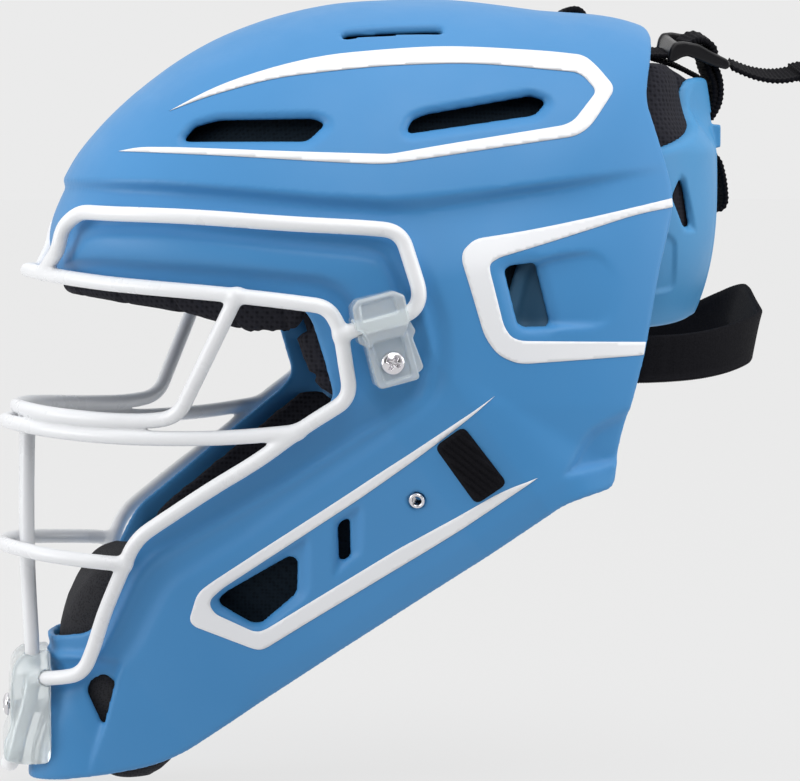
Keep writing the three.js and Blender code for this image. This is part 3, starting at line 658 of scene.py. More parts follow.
RIM_ROUTE = [(0, -154, 50.7), (20, -150, 50.4), *[on_shell(y, z) for y, z in (
    (-142.2, 49.2), (-134.5, 48.2), (-124, 47), (-111.6, 46), (-97, 44.9), (-81.5, 43.7), (-58, 41.2),
    (-41, 39), (-36, 30.4), (-34, 17.5), (-31.4, 3.5), (-50.3, -9.4), (-65.3, -21.8), (-84, -34),
    (-101.2, -46.4),
    (-113, -55), (-120.5, -73.9), (-125.5, -87.3), (-129, -100.2), (-133.5, -112))],
    (26.5, -144.5, -114.5), (14, -153, -116)]
BROW_ROUTE = [(24, -148, 50.5), *[on_shell(y, z) for y, z in (
    (-142.8, 60), (-141, 69), (-134.5, 75.2), (-124, 74.6), (-112, 74.3), (-97, 73.8), (-81.6, 72.9),
    (-57.8, 71.1), (-26.3, 69.5), (-13, 68.2), (-3.5, 37.5), (-26.3, 31.8))], (104.6, -36, 28)]
EYE_ROUTE = [(0, -158.8, -5), (20, -156, -5), (40, -146.3, -6), (55, -127, -7.4), (63, -110, -7.6),
             (70.5, -97, -5.8), (95, -75.2, 43.4)]
UPPER_ROUTE = [(0, -163.6, -11), (18, -160.4, -11), (38, -147.2, -12.6), (55, -127.3, -14),
               (68, -101.4, -14.3), (78, -76.1, -13.4), (90, -51.4, -10.4)]
LOWER_ROUTE = [(0, -165.8, -61.7), (20, -161.4, -61.4), (40, -146.6, -63), (52, -127.2, -64.6),
               (52.4, -117.2, -65.5)]
CENTRE_ROUTE = [(14, -154.4, -8.6), (14, -155.2, -40), (14, -155, -70), (14, -153.4, -102),
                (14, -153.2, -116), (14, -155, -126), (14, -158.4, -137), (14, -162, -151.5),
                (0, -163.4, -153)]
WIRES = [RIM_ROUTE, BROW_ROUTE, EYE_ROUTE, UPPER_ROUTE, LOWER_ROUTE, CENTRE_ROUTE]
CAGE_NODES = ["cage_rim_wire", "cage_eye_bar", "cage_upper_bar", "cage_lower_bar", "cage_centre_bars",
              "cage_brow_wire_left", "cage_brow_wire_right"]


def bent(points, trim=BEND, step=1.5):
    """A route with its corners rounded, as evenly spaced points."""
    corners = [np.array(p, float) for p in points]
    line = [corners[0]]
    for before, here, after in zip(corners, corners[1:], corners[2:]):
        back, ahead = before - here, after - here
        sizes = np.linalg.norm(back), np.linalg.norm(ahead)
        reach = min(trim, 0.49 * sizes[0], 0.49 * sizes[1])
        start, end = here + back / sizes[0] * reach, here + ahead / sizes[1] * reach
        line += [(1 - t) ** 2 * start + 2 * t * (1 - t) * here + t * t * end for t in np.linspace(0, 1, 9)]
    line = np.array([*line, corners[-1]])
    along = np.concatenate([[0], np.cumsum(np.linalg.norm(np.diff(line, axis=0), axis=1))])
    places = np.linspace(0, along[-1], max(2, math.ceil(along[-1] / step) + 1))
    return np.stack([np.interp(places, along, line[:, k]) for k in range(3)], 1)


def near_line(line, axes, reach):
    """Distance from a line of points, on the part of a grid within reach of it, and FAR elsewhere."""
    field = np.full([len(a) for a in axes], FAR, np.float32)
    for a, b in zip(line, line[1:]):
        low, high = np.minimum(a, b) - reach, np.maximum(a, b) + reach
        part = tuple(slice(*np.searchsorted(axis, ends)) for axis, ends in zip(axes, zip(low, high)))
        x, y, z = grid_over([axis[p] for axis, p in zip(axes, part)])
        ab = b - a
        t = ((x - a[0]) * ab[0] + (y - a[1]) * ab[1] + (z - a[2]) * ab[2]) / (ab @ ab + 1e-9)
        t = np.clip(t, 0, 1)
        d = np.sqrt((x - a[0] - t * ab[0]) ** 2 + (y - a[1] - t * ab[1]) ** 2 + (z - a[2] - t * ab[2]) ** 2)
        field[part] = np.minimum(field[part], d)
    return field


def build_cage():
    h = WIRE_STEP
    axes = [(np.arange(int(118 / h)) + 0.5) * h, steps_between(-173, 5, h), steps_between(-160, 84, h)]
    cage = np.full([len(a) for a in axes], FAR, np.float32)
    for wire in WIRES:
        cage = smin(cage, near_line(bent(wire), axes, WIRE_R + 5) - WIRE_R, 1.7)
    places, quads = surface_nets(mirrored(cage))
    verts = np.array([-axes[0][-1], axes[1][0], axes[2][0]]) + places * h
    piece = new_object("cage_wires", verts, quads, WHITE_COAT)
    return finish_piece(piece, "shell", CAGE_NODES)


# ---- Clear clips that hold the cage, their screws and nuts ----
CLIP_BASE = [(-32.6, 34), (-30.4, 29.8), (-29.2, 24.8), (-26.5, 23.6), (-22.7, 8.9), (-20.8, 8), (-5.5, 13.8),
             (-4, 15.7), (-8.3, 27), (-7.1, 29.7), (-9.8, 34.3), (-11.4, 36)]
CLIP_TONGUE = [(-28.1, 30.3), (-12.2, 34.8), (-6, 11.9), (-7.2, 10.9), (-20.7, 7.4), (-22.3, 8.3)]
CLIP_HOOD = [(-32.5, 38.9), (-30.6, 41.9), (-16.7, 45.5), (-12.4, 43.8), (-11.3, 38.8), (-10.1, 34.1),
             (-12.4, 27.4), (-25.6, 23.4), (-28.3, 29.2), (-31, 30)]
CLIP_POCKET = [(-29.8, 40), (-17.1, 43.4), (-14.6, 37.2), (-28.7, 33.4)]
CLIP_FACE = [(-24.9, 25.2), (-13.2, 28.2), (-9, 12.8), (-19.5, 9.8)]


def seated(block, axes, hole, wires):
    """A clip with its screw hole, its seat on the shell's skin and its grooves for the wires."""
    skin = skin_distance(*grid_over(axes)).reshape(block.shape) - 0.35
    block = smax(smax(block, hole, 0.4), -skin, 0.6)
    for wire in wires:
        block = smax(block, WIRE_R + 0.3 - near_line(bent(wire), axes, WIRE_R + 4), 0.4)
    return block


def side_clip(side):
    """A moulded clip: a hood over the wire, a raised tongue with the screw, and flanges beside it."""
    low, high, step = (96, -36, 5), (118, 0, 48), 0.4
    axes = grid_axes(low, high, step)
    x, y, z = grid_over(axes)
    block = smax(outline_distance(CLIP_BASE, y, z, 0.8), x - 108.6, 0.6)
    block = smin(block, smax(outline_distance(CLIP_TONGUE, y, z, 0.8), x - 112.4, 0.9), 0.4)
    block = smin(block, smax(outline_distance(CLIP_HOOD, y, z, 0.8), x - 116.3, 2.0), 0.5)
    block = smax(block, -smax(outline_distance(CLIP_FACE, y, z, 1), 111.3 - x, 0.4), 0.4)
    block = smax(block, -smax(outline_distance(CLIP_POCKET, y, z, 1), 114.9 - x, 0.4), 0.4)
    hole = SCREW_HOLE - np.hypot(y - SIDE_SCREW[0], z - SIDE_SCREW[1])
    block = seated(block, axes, hole, (RIM_ROUTE, BROW_ROUTE))
    places, quads = surface_nets(block.astype(np.float32))
    verts = (np.array(low) + places * step) * [side, 1, 1]
    quads = quads if side > 0 else quads[:, ::-1]
    name = side_name(side)
    piece = keep_largest(new_object(f"side_clip_{name}_moulding", verts, quads, CLEAR))
    return finish_piece(piece, "shell", [f"side_clip_{name}"])


CHIN_CLIP = [(-146, -104), (-157, -105), (-161.5, -110), (-162.6, -120), (-162.6, -135), (-165.5, -142),
             (-165, -149.5), (-157, -152), (-146, -152)]
CHIN_FACE = [(16, -104), (23, -112), (23, -146), (18, -152)]


def chin_clip():
    low, high, step = (0, -168, -155), (25, -138, -101), 0.5
    axes = grid_axes(low, high, step)
    axes[0] = axes[0] + step / 2
    x, y, z = grid_over(axes)
    front = outline_distance([(-u, v) for u, v in CHIN_FACE[::-1]] + CHIN_FACE, x, z, 3)
    block = smax(outline_distance(CHIN_CLIP, y, z, 2), front, 2.4)
    hole = SCREW_HOLE - np.hypot(x, z - CHIN_SCREW_Z)
    block = seated(block, axes, hole, (RIM_ROUTE, CENTRE_ROUTE))
    places, quads = surface_nets(mirrored(block))
    verts = np.array([-axes[0][-1], low[1], low[2]]) + places * step
    piece = keep_largest(new_object("chin_clip_moulding", verts, quads, CLEAR))
    return finish_piece(piece, "shell", ["chin_clip"])


def keep_largest(piece):
    """Leave only the biggest of a mesh's separate bodies."""
    mesh = bmesh.new()
    mesh.from_mesh(piece.data)
    groups, seen = [], set()
    for start in mesh.verts:
        if start in seen:
            continue
        seen.add(start)
        group, waiting = [start], [start]
        while waiting:
            for edge in waiting.pop().link_edges:
                for vert in edge.verts:
                    if vert not in seen:
                        seen.add(vert)
                        group.append(vert)
                        waiting.append(vert)
        groups.append(group)
    for group in sorted(groups, key=len)[:-1]:
        bmesh.ops.delete(mesh, geom=group, context="VERTS")
    mesh.to_mesh(piece.data)
    mesh.free()
    return piece


def axes_about(direction):
    """Three unit directions at right angles, the last one along direction."""
    out = np.array(direction, float) / np.linalg.norm(direction)
    first = np.cross([0, 0, 1] if abs(out[2]) < 0.9 else [1, 0, 0], out)
    first /= np.linalg.norm(first)
    return np.array([first, np.cross(out, first), out])


SCREW_HEAD, SCREW_RISE, SCREW_SHANK = 4.7, 2.5, 2.1
HEAD_SPHERE, THREAD_PITCH, THREAD_DEPTH, RECESS_DEPTH = 6.2, 1.4, 0.22, 2.2


def screw(name, node, origin, direction, length, turn):
    """A pan-head screw with a tapered cross recess."""
    step = 0.2
    low, high = np.array((-5, -5, -length - 0.4)), np.array((5, 5, 3.2))
    u, v, w = grid_over(grid_axes(low, high, step))
    r = np.hypot(u, v)
    dome = np.sqrt(r * r + (w + HEAD_SPHERE) ** 2) - (HEAD_SPHERE + SCREW_RISE)
    head = smax(smax(r - SCREW_HEAD, dome, 0.9), -w, 0.3)
    turns = w / THREAD_PITCH + np.arctan2(v, u) / (2 * math.pi)
    thread = THREAD_DEPTH * np.abs((turns % 1) - 0.5) * 2
    shank = smax(r - SCREW_SHANK + thread, smax(w - 0.4, -w - length, 0.1), 0.3)
    body = smin(head, shank, 0.3)
    cu, cv = math.cos(turn), math.sin(turn)
    a, b = np.abs(u * cu + v * cv), np.abs(-u * cv + v * cu)
    deep = np.clip((SCREW_RISE - w) / RECESS_DEPTH, 0, 1)
    cross = smin(smax(a - 3.3 + 1.6 * deep, b - 0.75 + 0.15 * deep, 0.15),
                 smax(b - 3.3 + 1.6 * deep, a - 0.75 + 0.15 * deep, 0.15), 0.3)
    cross = smin(cross, r - 1.5 + 0.8 * deep, 0.3)
    body = smax(body, -smax(cross, 0.2 - w, 0.3), 0.12)
    places, quads = surface_nets(body.astype(np.float32))
    basis = axes_about(direction)
    piece = new_object(name, np.array(origin) + (low + places * step) @ basis, quads, STEEL)
    return finish_piece(piece, "shell", [node])


def turned(name, rings, origin, direction, material, segments=56):
    """A ring-shaped piece: a closed list of (radius, height) turned about a direction."""
    basis = axes_about(direction)
    angles = np.arange(segments) * 2 * math.pi / segments
    verts = [origin + (r * math.cos(t) * basis[0] + r * math.sin(t) * basis[1] + h * basis[2])
             for r, h in rings for t in angles]
    return new_object(name, verts, ring_faces(len(rings), segments), material)


def eyelet(side):
    y, z = EYELET
    normal = surface_normal(y, z) * [side, 1, 1]
    seat = float(skin_x(np.array([y]), np.array([z]), 0.0)[0])
    roll = [(2.5 + 0.72 * math.cos(t), 0.5 + 0.7 * math.sin(t)) for t in np.linspace(-0.5, math.pi + 0.2, 14)]
    rings = roll + [(1.8, 0.0), (1.8, -4.6), (2.4, -4.9), (2.7, -4.4), (2.7, -0.2)]
    name = side_name(side)
    piece = turned(f"eyelet_{name}_ring", rings[::-1], np.array([side * seat, y, z]), normal, STEEL)
    return finish_piece(piece, "shell", [f"eyelet_{name}"])


def t_nut(name, node, origin, direction):
    rings = [(2.5, 0.1), (5.9, 0.1), (6.4, -0.2), (6.5, -0.6), (6.3, -1.1), (5.8, -1.3), (4.1, -1.35),
             (3.75, -1.7), (3.7, -5.2), (3.5, -5.5), (2.7, -5.5), (2.5, -5.2)]
    piece = turned(name, rings, np.array(origin), direction, NUT_STEEL, 40)
    return finish_piece(piece, "shell", [node])


def build_fasteners():
    y, z = SIDE_SCREW
    for side in (1, -1):
        name = side_name(side)
        side_clip(side)
        screw(f"side_screw_{name}_head", f"side_screw_{name}", (side * 112, y, z), (side, 0, 0), 19.5, 1.1)
        t_nut(f"side_t_nut_{name}_turned", f"side_t_nut_{name}", (side * 96, y, z), (side, 0, 0))
        eyelet(side)
    chin_clip()
    screw("chin_screw_head", "chin_screw", (0, -163, CHIN_SCREW_Z), (0, -1, 0), 21.5, 0.5)
    t_nut("chin_t_nut_turned", "chin_t_nut", (0, -144.4, CHIN_SCREW_Z), (0, -1, 0))


# ---- Flat straps ----
EDGE_RIB = 0.3  # how far a rib stands out at a strap's edge


def section(across, thick):
    """Points round a flat strap's rounded section, as (across, up), from half its width and thickness."""
    flat = np.linspace(-1, 1, 7) * (across - thick)
    bend = np.linspace(math.pi / 2, -math.pi / 2, 5)
    right = [(across - thick + thick * math.cos(t), thick * math.sin(t)) for t in bend]
    top = [(s, thick) for s in flat[:-1]]
    half = top + right
    return np.array(half + [(-s, -u) for s, u in half])


def ribbon(name, points, across, size, nodes, body, pitch, rib, step=0.25, trim=8):
    """A webbing strap along a route: rounded edges and ribs across it. Across is one lean, or one a point."""
    line = bent(points, trim, step)
    tangent = np.gradient(line, axis=0)
    tangent /= np.linalg.norm(tangent, axis=1)[:, None]
    leans = np.broadcast_to(np.array(across, float), (len(points), 3))
    knots = np.linalg.norm(np.diff(points, axis=0), axis=1).cumsum()
    knots = np.concatenate([[0], knots / knots[-1]])
    side = np.stack([np.interp(np.linspace(0, 1, len(line)), knots, lean) for lean in leans.T], 1)
    side = side - (side * tangent).sum(1)[:, None] * tangent
    side /= np.linalg.norm(side, axis=1)[:, None]
    up = np.cross(tangent, side)
    along = np.arange(len(line)) * step
    ripple = 0.5 + 0.5 * np.cos(2 * math.pi * along / pitch)
    outline = section(size[0] / 2 - EDGE_RIB, size[1] / 2 - rib)
    rings = []
    for place, s, u, r in zip(line, side, up, ripple):
        grown = outline + np.sign(outline) * np.array([EDGE_RIB, rib]) * r * (np.abs(outline) > 0.1)
        rings.append(place + grown[:, :1] * s + grown[:, 1:] * u)
    count, length = len(outline), len(rings)
    verts = np.concatenate(rings)
    faces = ring_faces(length, count, closed=False)
    faces += [tuple(range(count))[::-1], tuple((length - 1) * count + j for j in range(count))]
    piece = new_object(name, verts, faces, WEBBING)
    fix_normals(piece)
    return finish_piece(piece, body, nodes)


def fix_normals(piece):
    mesh = bmesh.new()
    mesh.from_mesh(piece.data)
    bmesh.ops.recalc_face_normals(mesh, faces=mesh.faces)
    mesh.to_mesh(piece.data)
    mesh.free()


NECK_ROUTE = [(88.5, 70, 17), (88.5, 90, 17), (86, 106, 17.8), (79, 119, 19.6), (68, 130, 22),
              (56, 137.2, 23.8), (40, 141.8, 25), (0, 147, 29), (-32, 151.5, 33), (-50, 153.4, 34),
              (-66, 147, 27.5), (-76, 134, 19.5), (-84, 116, 15.5), (-88.5, 95, 16), (-88.5, 70, 17)]
NECK_LEAN = [(0, 0, 1), (0, 0, 1), (0, 0.06, 1), (-0.1, 0.12, 1), (-0.25, 0.22, 0.93), (-0.45, 0.3, 0.82),
             (-0.55, 0.28, 0.77), (-0.2, 0.36, 0.9), (0.1, 0.34, 0.9), (0.25, 0.3, 0.9), (0.2, 0.2, 0.95),
             (0.1, 0.1, 1), (0, 0, 1), (0, 0, 1), (0, 0, 1)]
UPRIGHT_STRAP = (1, 0, 0)
STRAP_LEAN = (0.982, 0, -0.19)
TAIL_LEAN = (0.966, 0, -0.259)


def build_straps():
    for node, points, lean, size, pitch, rib in (
            ("top_strap", [(70, 141), (95, 140.6), (112.4, 140.6)], STRAP_LEAN, (20, 2.2), 1.9, 0.28),
            ("strap_roll", [(118.6, 139.6), (119, 144.6), (125, 147.8), (130.6, 144.6), (131.4, 137)],
             STRAP_LEAN, (20, 3.4), 1.9, 0.36),
            ("strap_loop", [(130.4, 137.9), (131.5, 134.6), (133.4, 130), (133.9, 124), (133, 118.6),
                            (129.6, 113)], UPRIGHT_STRAP, (20, 2.4), 1.9, 0.28),
            ("plate_strap", [(131.2, 98), (133.6, 95), (135.6, 87), (136.2, 78.6), (134.6, 75.4), (131, 75)],
             UPRIGHT_STRAP, (20, 2.2), 1.9, 0.28),
            ("inner_strap", [(105, 138.9), (114.5, 136.2), (126.4, 130.2)], STRAP_LEAN, (16, 1.6), 1.3, 0.12),
            ("strap_tail", [(139.6, 135.9), (143.8, 134.1), (149, 132.2), (156, 131), (162, 131.2),
                            (167.4, 132.4)], TAIL_LEAN, (20, 2.4), 1.9, 0.42),
            ("strap_tail_end", [(167.1, 132.3), (171.8, 133.4)], TAIL_LEAN, (21, 5), 1.9, 0.4)):
        ribbon(f"{node}_webbing", [(0, y, z) for y, z in points], lean, size, [node], frame_body(node),
               pitch, rib)
    ribbon("strap_loop_return", [(0, 126.6, 140.4), (0, 128.2, 134), (0, 131.2, 128), (0, 131.6, 122),
                                 (0, 130.4, 117), (0, 127.4, 113.6)],
           UPRIGHT_STRAP, (19, 2.2), [], frame_body("strap_loop"), 1.9, 0.2)
    ribbon("neck_strap_webbing", NECK_ROUTE, NECK_LEAN, (19, 2.2), ["neck_strap"], frame_body("neck_strap"),
           1.0, 0.08, step=0.5, trim=9)
    ribbon("crown_tab_webbing", [(0, 63.6, 151), (0, 67.8, 157), (0, 74, 158.6), (0, 79, 151)],
           UPRIGHT_STRAP, (15, 3.4), ["crown_tab"], "shell", 1.3, 0.14, trim=5)


def frame_body(node):
    """The body that a CAD node is on."""
    for body, members in frame["record"]["behaviour"]["bodies"].items():
        if node in members:
            return body
    raise KeyError(node)


# ---- Ladder lock and back plate ----
LOCK_SIDE = [(110.6, 139.2), (111.6, 144.2), (113, 146.4), (116.8, 146.8), (123, 145.8), (128.4, 142.8),
             (135.2, 139.6), (136.4, 137.8), (135, 136.2), (129.6, 137.6), (123, 140.2), (118.6, 141.8),
             (116, 141.2), (113.2, 139.6)]


def ladder_lock():
    """The buckle: two long rails and three cross bars, leaning with the strap."""
    low, high, step = (-15.2, 108, 129), (15.2, 140, 152), 0.4
    x, y, z = grid_over(grid_axes(low, high, step))
    z = z - STRAP_LEAN[2] * x
    x = np.abs(x)
    rail = 0.5 * smooth(11.0, 11.8, x)
    body = smax(outline_distance(LOCK_SIDE, y, z, 0.9) - rail, x - 13.9, 1.2)
    for start, end in ((115.2, 121.6), (126, 132.6)):
        opening = np.maximum(band(y, start, end), x - 11.2) + 0 * z
        body = smax(body, -opening, 0.8)
    places, quads = surface_nets(body.astype(np.float32))
    piece = new_object("ladder_lock_moulding", np.array(low) + places * step, quads, BLACK_PLASTIC)
    return finish_piece(keep_largest(piece), frame_body("ladder_lock"), ["ladder_lock"])


PLATE_REAR = [(0, 32), (24, 31.6), (58, 28), (84, 28.4), (90, 40), (90, 70), (78, 96), (60, 103),
              (31, 113), (24, 130), (0, 130)]
PLATE_VENT = [(101.4, 81), (105.4, 88.5), (107.4, 84), (110.4, 69), (107.4, 69)]
PLATE_BEVEL = [(101.2, 81), (105.4, 90.5), (108.4, 88.5), (114.6, 66.4), (107.5, 66.8)]
PLATE_PANEL = [(90, 67), (98, 67.5), (104.2, 64), (105, 43.8), (97.8, 42.4), (90, 42)]


def plate_distance(x, y, z, offset=0.0):
    a, b, c = PLATE["a"] + offset, PLATE["b"] + offset, np.where(z < PLATE["z"], 98, PLATE["c"]) + offset
    y = y + 9 * smooth(9, 28, np.abs(x)) * smooth(98, 118, z)  # the top tab's edges bend forward
    u, v, w = np.abs(x) / a, np.abs(y - PLATE["y"]) / b, np.abs(z - PLATE["z"]) / c
    p = PLATE["power"]
    level = u ** p + v ** p + w ** p
    slope = p * np.sqrt((u ** (p - 1) / a) ** 2 + (v ** (p - 1) / b) ** 2 + (w ** (p - 1) / c) ** 2)
    return (level - 1) / np.maximum(slope, 1e-3)


def back_plate():
    low, high, step = (0.4, 77, 23), (87, 137, 133), 0.8
    axes = grid_axes(low, high, step)
    x, y, z = grid_over(axes)
    full = [(-u, v) for u, v in PLATE_REAR[::-1]][1:-1] + PLATE_REAR
    rear = outline_distance(full, x, z, 9)
    relief = -0.8 + 0.8 * smooth(27, 22, x) - 0.5 * smooth(-1.5, 0, rear)
    relief = relief - 1.3 * smooth(0.4, -2, outline_distance(PLATE_PANEL, y, z, 3)) * smooth(55, 62, x)
    relief = relief - 2.0 * smooth(0.3, -2.6, outline_distance(PLATE_BEVEL, y, z, 1)) * smooth(50, 58, x)
    skin = plate_distance(x, y, z) - relief
    thick = PLATE["wall"] + 2.2 * smooth(-7, -2, rear)
    wall = smax(skin, -(plate_distance(x, y, z) - relief + thick), 0.9)
    wall = smax(smax(wall, rear, 1.6), 79 - y, 1.0)
    bridge = smax(smax(x - 15, np.abs(z - 105.8) - 4.8, 0.8), np.abs(y - 129.8) - 2.7, 0.9)
    wall = smin(wall, bridge, 1.0)
    wall = smax(wall, np.where(x > 50, -outline_distance(PLATE_VENT, y, z, 2), -FAR), 1.2)
    for bottom, top in ((110.8, 115.2), (96.2, 99.8), (71, 75)):
        slot = np.maximum(band(z, bottom, top), x - 12)
        wall = smax(wall, np.where(y > 105, -slot, -FAR), 0.7)
    places, quads = surface_nets(mirrored(wall))
    verts = np.array([-axes[0][-1], low[1], low[2]]) + places * step
    piece = keep_largest(new_object("back_plate_moulding", verts, quads, PLATE_BLUE))
    return finish_piece(piece, frame_body("back_plate"), ["back_plate"])


# ---- Pads ----
FOREHEAD = [(-160, 47.5), (-120, 42), (-90, 37.5), (-66, 30), (-52, 30.5), (-48, 46), (-48, 88), (-160, 88)]
TEMPLE = [(-53, 28), (-49.5, 18), (-45.5, 8), (-39, 2.5), (-4, -8), (30, -28), (60, -26), (65, 0), (65, 62),
          (20, 74), (-22, 62), (-41, 46), (-46, 30)]
TEMPLE_RIGHT = [(-36, 46), (-34, 30), (-30, 14), (-25, 2), (-16, -6), (-4, -10), (30, -28), (60, -26),
                (65, 0),
              (65, 62), (20, 74), (-22, 62)]
JAW = [(-34, -3.5), (-100, -52), (-104, -62), (-93, -72), (-56, -47), (-10, -16), (-24, -3)]
CHIN_OUTER = [(-143, -101), (-139, -86), (-131, -72), (-122, -64), (-100, -66), (-86, -86), (-80, -122),
              (-88, -140), (-103, -157), (-119, -159), (-127, -154), (-144, -152)]
CHIN_CUP = [(-129, -101), (-126, -88), (-116, -78), (-70, -80), (-70, -170), (-112, -170), (-129, -146)]
CROWN = [(-63, -58), (63, -58), (63, 52), (-63, 52)]  # from above, as (x, y)
PAD_OUT, PAD_IN = -6.4, -15.4
NUT_SPACE = 8.5  # radius kept free round each T-nut


def form_distance(x, y, z, offset):
    """Distance outside the helmet's form moved out by offset, good near its surface."""
    widest, reach, radius, p, q = form_terms(y, z)
    widest, radius = widest + offset, radius + offset
    u, v = np.abs(x) / widest, reach / radius
    level = u ** q + v ** p - 1
    slope = np.sqrt((q * u ** (q - 1) / widest) ** 2 + (p * v ** (p - 1) / radius) ** 2)
    return level / np.maximum(slope, 2e-3)


def lining(x, y, z, edge, soft=5.0):
    """A layer under the shell, thick in the middle and rounded to its edge."""
    layer = smax(form_distance(x, y, z, PAD_OUT), -form_distance(x, y, z, PAD_IN), 2.0)
    return smax(layer, edge + 1.0, soft)


def swell(piece, held, cap):
    """Inflate a closed pad with cloth pressure. Places where held is true stay where they are."""
    rest = np.array([v.co for v in piece.data.vertices]) / MM
    group = piece.vertex_groups.new(name="held")
    group.add(np.flatnonzero(held(*rest.T)).tolist(), 1.0, "REPLACE")
    cloth = piece.modifiers.new("cloth", "CLOTH")
    cloth.settings.use_pressure = True
    cloth.settings.uniform_pressure_force = 4
    cloth.settings.effector_weights.gravity = 0
    cloth.settings.vertex_group_mass = "held"
    cloth.point_cache.frame_end = 20
    for step in range(1, 21):
        bpy.context.scene.frame_set(step)
    shown = piece.evaluated_get(bpy.context.evaluated_depsgraph_get())
    swollen = np.array([v.co for v in shown.data.vertices]) / MM
    move = swollen - rest
    size = np.linalg.norm(move, axis=1)[:, None]
    rest = rest + move * np.minimum(1, cap / np.maximum(size, 1e-6))
    piece.modifiers.clear()
    piece.vertex_groups.clear()
    bpy.context.scene.frame_set(1)
    piece.data.vertices.foreach_set("co", (rest * MM).astype(np.float32).ravel())
    subdivide = piece.modifiers.new("fine", "SUBSURF")
    subdivide.levels = subdivide.render_levels = 2
    shown = piece.evaluated_get(bpy.context.evaluated_depsgraph_get())
    fine = bpy.data.meshes.new_from_object(shown)
    piece.modifiers.clear()
    piece.data = fine
    fine.shade_smooth()
    return piece


def groove(piece, depth, width, distance_of):
    """Sewn channels: press the surface in along lines given by their distance."""
    mesh = piece.data
    places = np.array([v.co for v in mesh.vertices])
    normals = np.array([v.normal for v in mesh.vertices])
    press = depth * np.exp(-(distance_of(*(places / MM).T) / width) ** 2)
    mesh.vertices.foreach_set("co", (places - normals * press[:, None] * MM).astype(np.float32).ravel())
    mesh.update()


def pad(name, nodes, low, high, field_of, held, body="shell", material=None, cap=2.0, step=4.0, seams=None):
    piece = keep_largest(from_field(name, low, high, step, field_of, material or MESH_FABRIC))
    swell(piece, held, cap)
    if seams:
        groove(piece, *seams)
    finish_piece(piece, body, nodes)
    return piece


def against_shell(x, y, z):
    return form_distance(x, y, z, PAD_OUT) > -2.5


def build_pads():
    pad("forehead_pad_foam", ["forehead_pad"], (-106, -150, 28), (106, -42, 94),
        lambda x, y, z: lining(x, y, z, outline_distance(FOREHEAD, y, z, 6) - 4, 3.5), against_shell,
        step=2.7, cap=1.2,
        seams=(0.9, 1.4, lambda x, y, z: np.abs((np.arctan2(x, -y) * 5 + 0.5) % 1 - 0.5) * 25))
    pad("crown_pad_foam", ["crown_pad"], (-68, -64, 100), (68, 58, 166),
        lambda x, y, z: lining(x, y, z, outline_distance(CROWN, x, y, 14)), against_shell,
        seams=(1.6, 1.6, lambda x, y, z: np.abs((x / 32 + 0.5) % 1 - 0.5) * 32))
    pad("chin_pad_foam", ["chin_pad"], (-58, -148, -163), (58, -76, -60), chin_field, against_shell,
        material=KNIT_FABRIC, step=3.5)
    for side, temple in ((1, TEMPLE), (-1, TEMPLE_RIGHT)):
        name = side_name(side)
        ends = sorted((side * 56, side * 108))
        pad(f"temple_pad_{name}_foam", [f"temple_pad_{name}"], (ends[0], -58, -32), (ends[1], 69, 78),
            lambda x, y, z: temple_field(x, y, z, temple), against_shell, step=2.4,
            seams=(1.6, 1.6, lambda x, y, z: np.abs(z - 22 - 0.25 * y)))
        ends = sorted((side * 20, side * 104))
        pad(f"jaw_pad_{name}_foam", [f"jaw_pad_{name}"], (ends[0], -108, -76), (ends[1], -6, 2),
            lambda x, y, z: lining(x, y, z, outline_distance(JAW, y, z, 6), 4.0), against_shell, step=3.5)
    pad("rear_pad_foam", ["rear_pad"], (-69, 82, 38), (69, 134, 144), rear_field,
        lambda x, y, z: plate_distance(x, y, z, -PLATE["wall"]) > -4, body=frame_body("rear_pad"),
        seams=(1.5, 1.5, lambda x, y, z: np.abs(np.abs(x) - 27)))


def temple_field(x, y, z, outline):
    field = lining(x, y, z, outline_distance(outline, y, z, 6))
    field = smax(field, 17 - np.hypot(y - 39, z - 43), 4)  # the ear hole
    return smax(field, NUT_SPACE - np.hypot(y - SIDE_SCREW[0], z - SIDE_SCREW[1]), 2)


def chin_field(x, y, z):
    cup = smax(outline_distance(CHIN_CUP, y, z, 8), form_distance(x, y, z, PAD_IN - 2), 3)
    block = smax(outline_distance(CHIN_OUTER, y, z, 7), form_distance(x, y, z, PAD_OUT), 4)
    hole = np.where(y < -133, NUT_SPACE - np.hypot(x, z - CHIN_SCREW_Z), -FAR)
    return smax(smax(block, -cup, 4) + 0.4, hole, 2)


REAR_SHAPE = [(-34, 142), (-54, 128), (-65, 102), (-65, 60), (-46, 42), (46, 42), (65, 60), (65, 102),
              (54, 128), (34, 142)]
REAR_TOP = [(80, 30), (80, 135.4), (98, 136.4), (106, 135.6), (116, 131.4), (124, 127), (140, 121), (140, 30)]


def rear_field(x, y, z):
    wall = PLATE["wall"]
    layer = smax(plate_distance(x, y, z, -wall - 1.6), -plate_distance(x, y, z, -wall - 16), 3)
    layer = smax(layer, outline_distance(REAR_SHAPE, x, z, 12) + 1, 5)
    return smax(layer, outline_distance(REAR_TOP, y, z, 6) + 0.5, 3)


# ---- Lining seen through the vents, patches and anchors ----
PATCH = [(1.3, -16), (12.1, -7.7), (29.7, -30.4), (18, -39)]
VENT_LININGS = {
    "brow": [(-104, 96), (-104, 116), (-34, 118), (-30, 96)],
    "crown": [(-16, 98), (-14, 122), (52, 128), (56, 108)],
    "ear": [(20, 26), (20, 62), (52, 62), (56, 26)],
    "jaw": [(-84, -82), (-56, -58), (-34, -42), (-24, -42), (-24, -66), (-42, -82), (-66, -98), (-76, -96)],
}


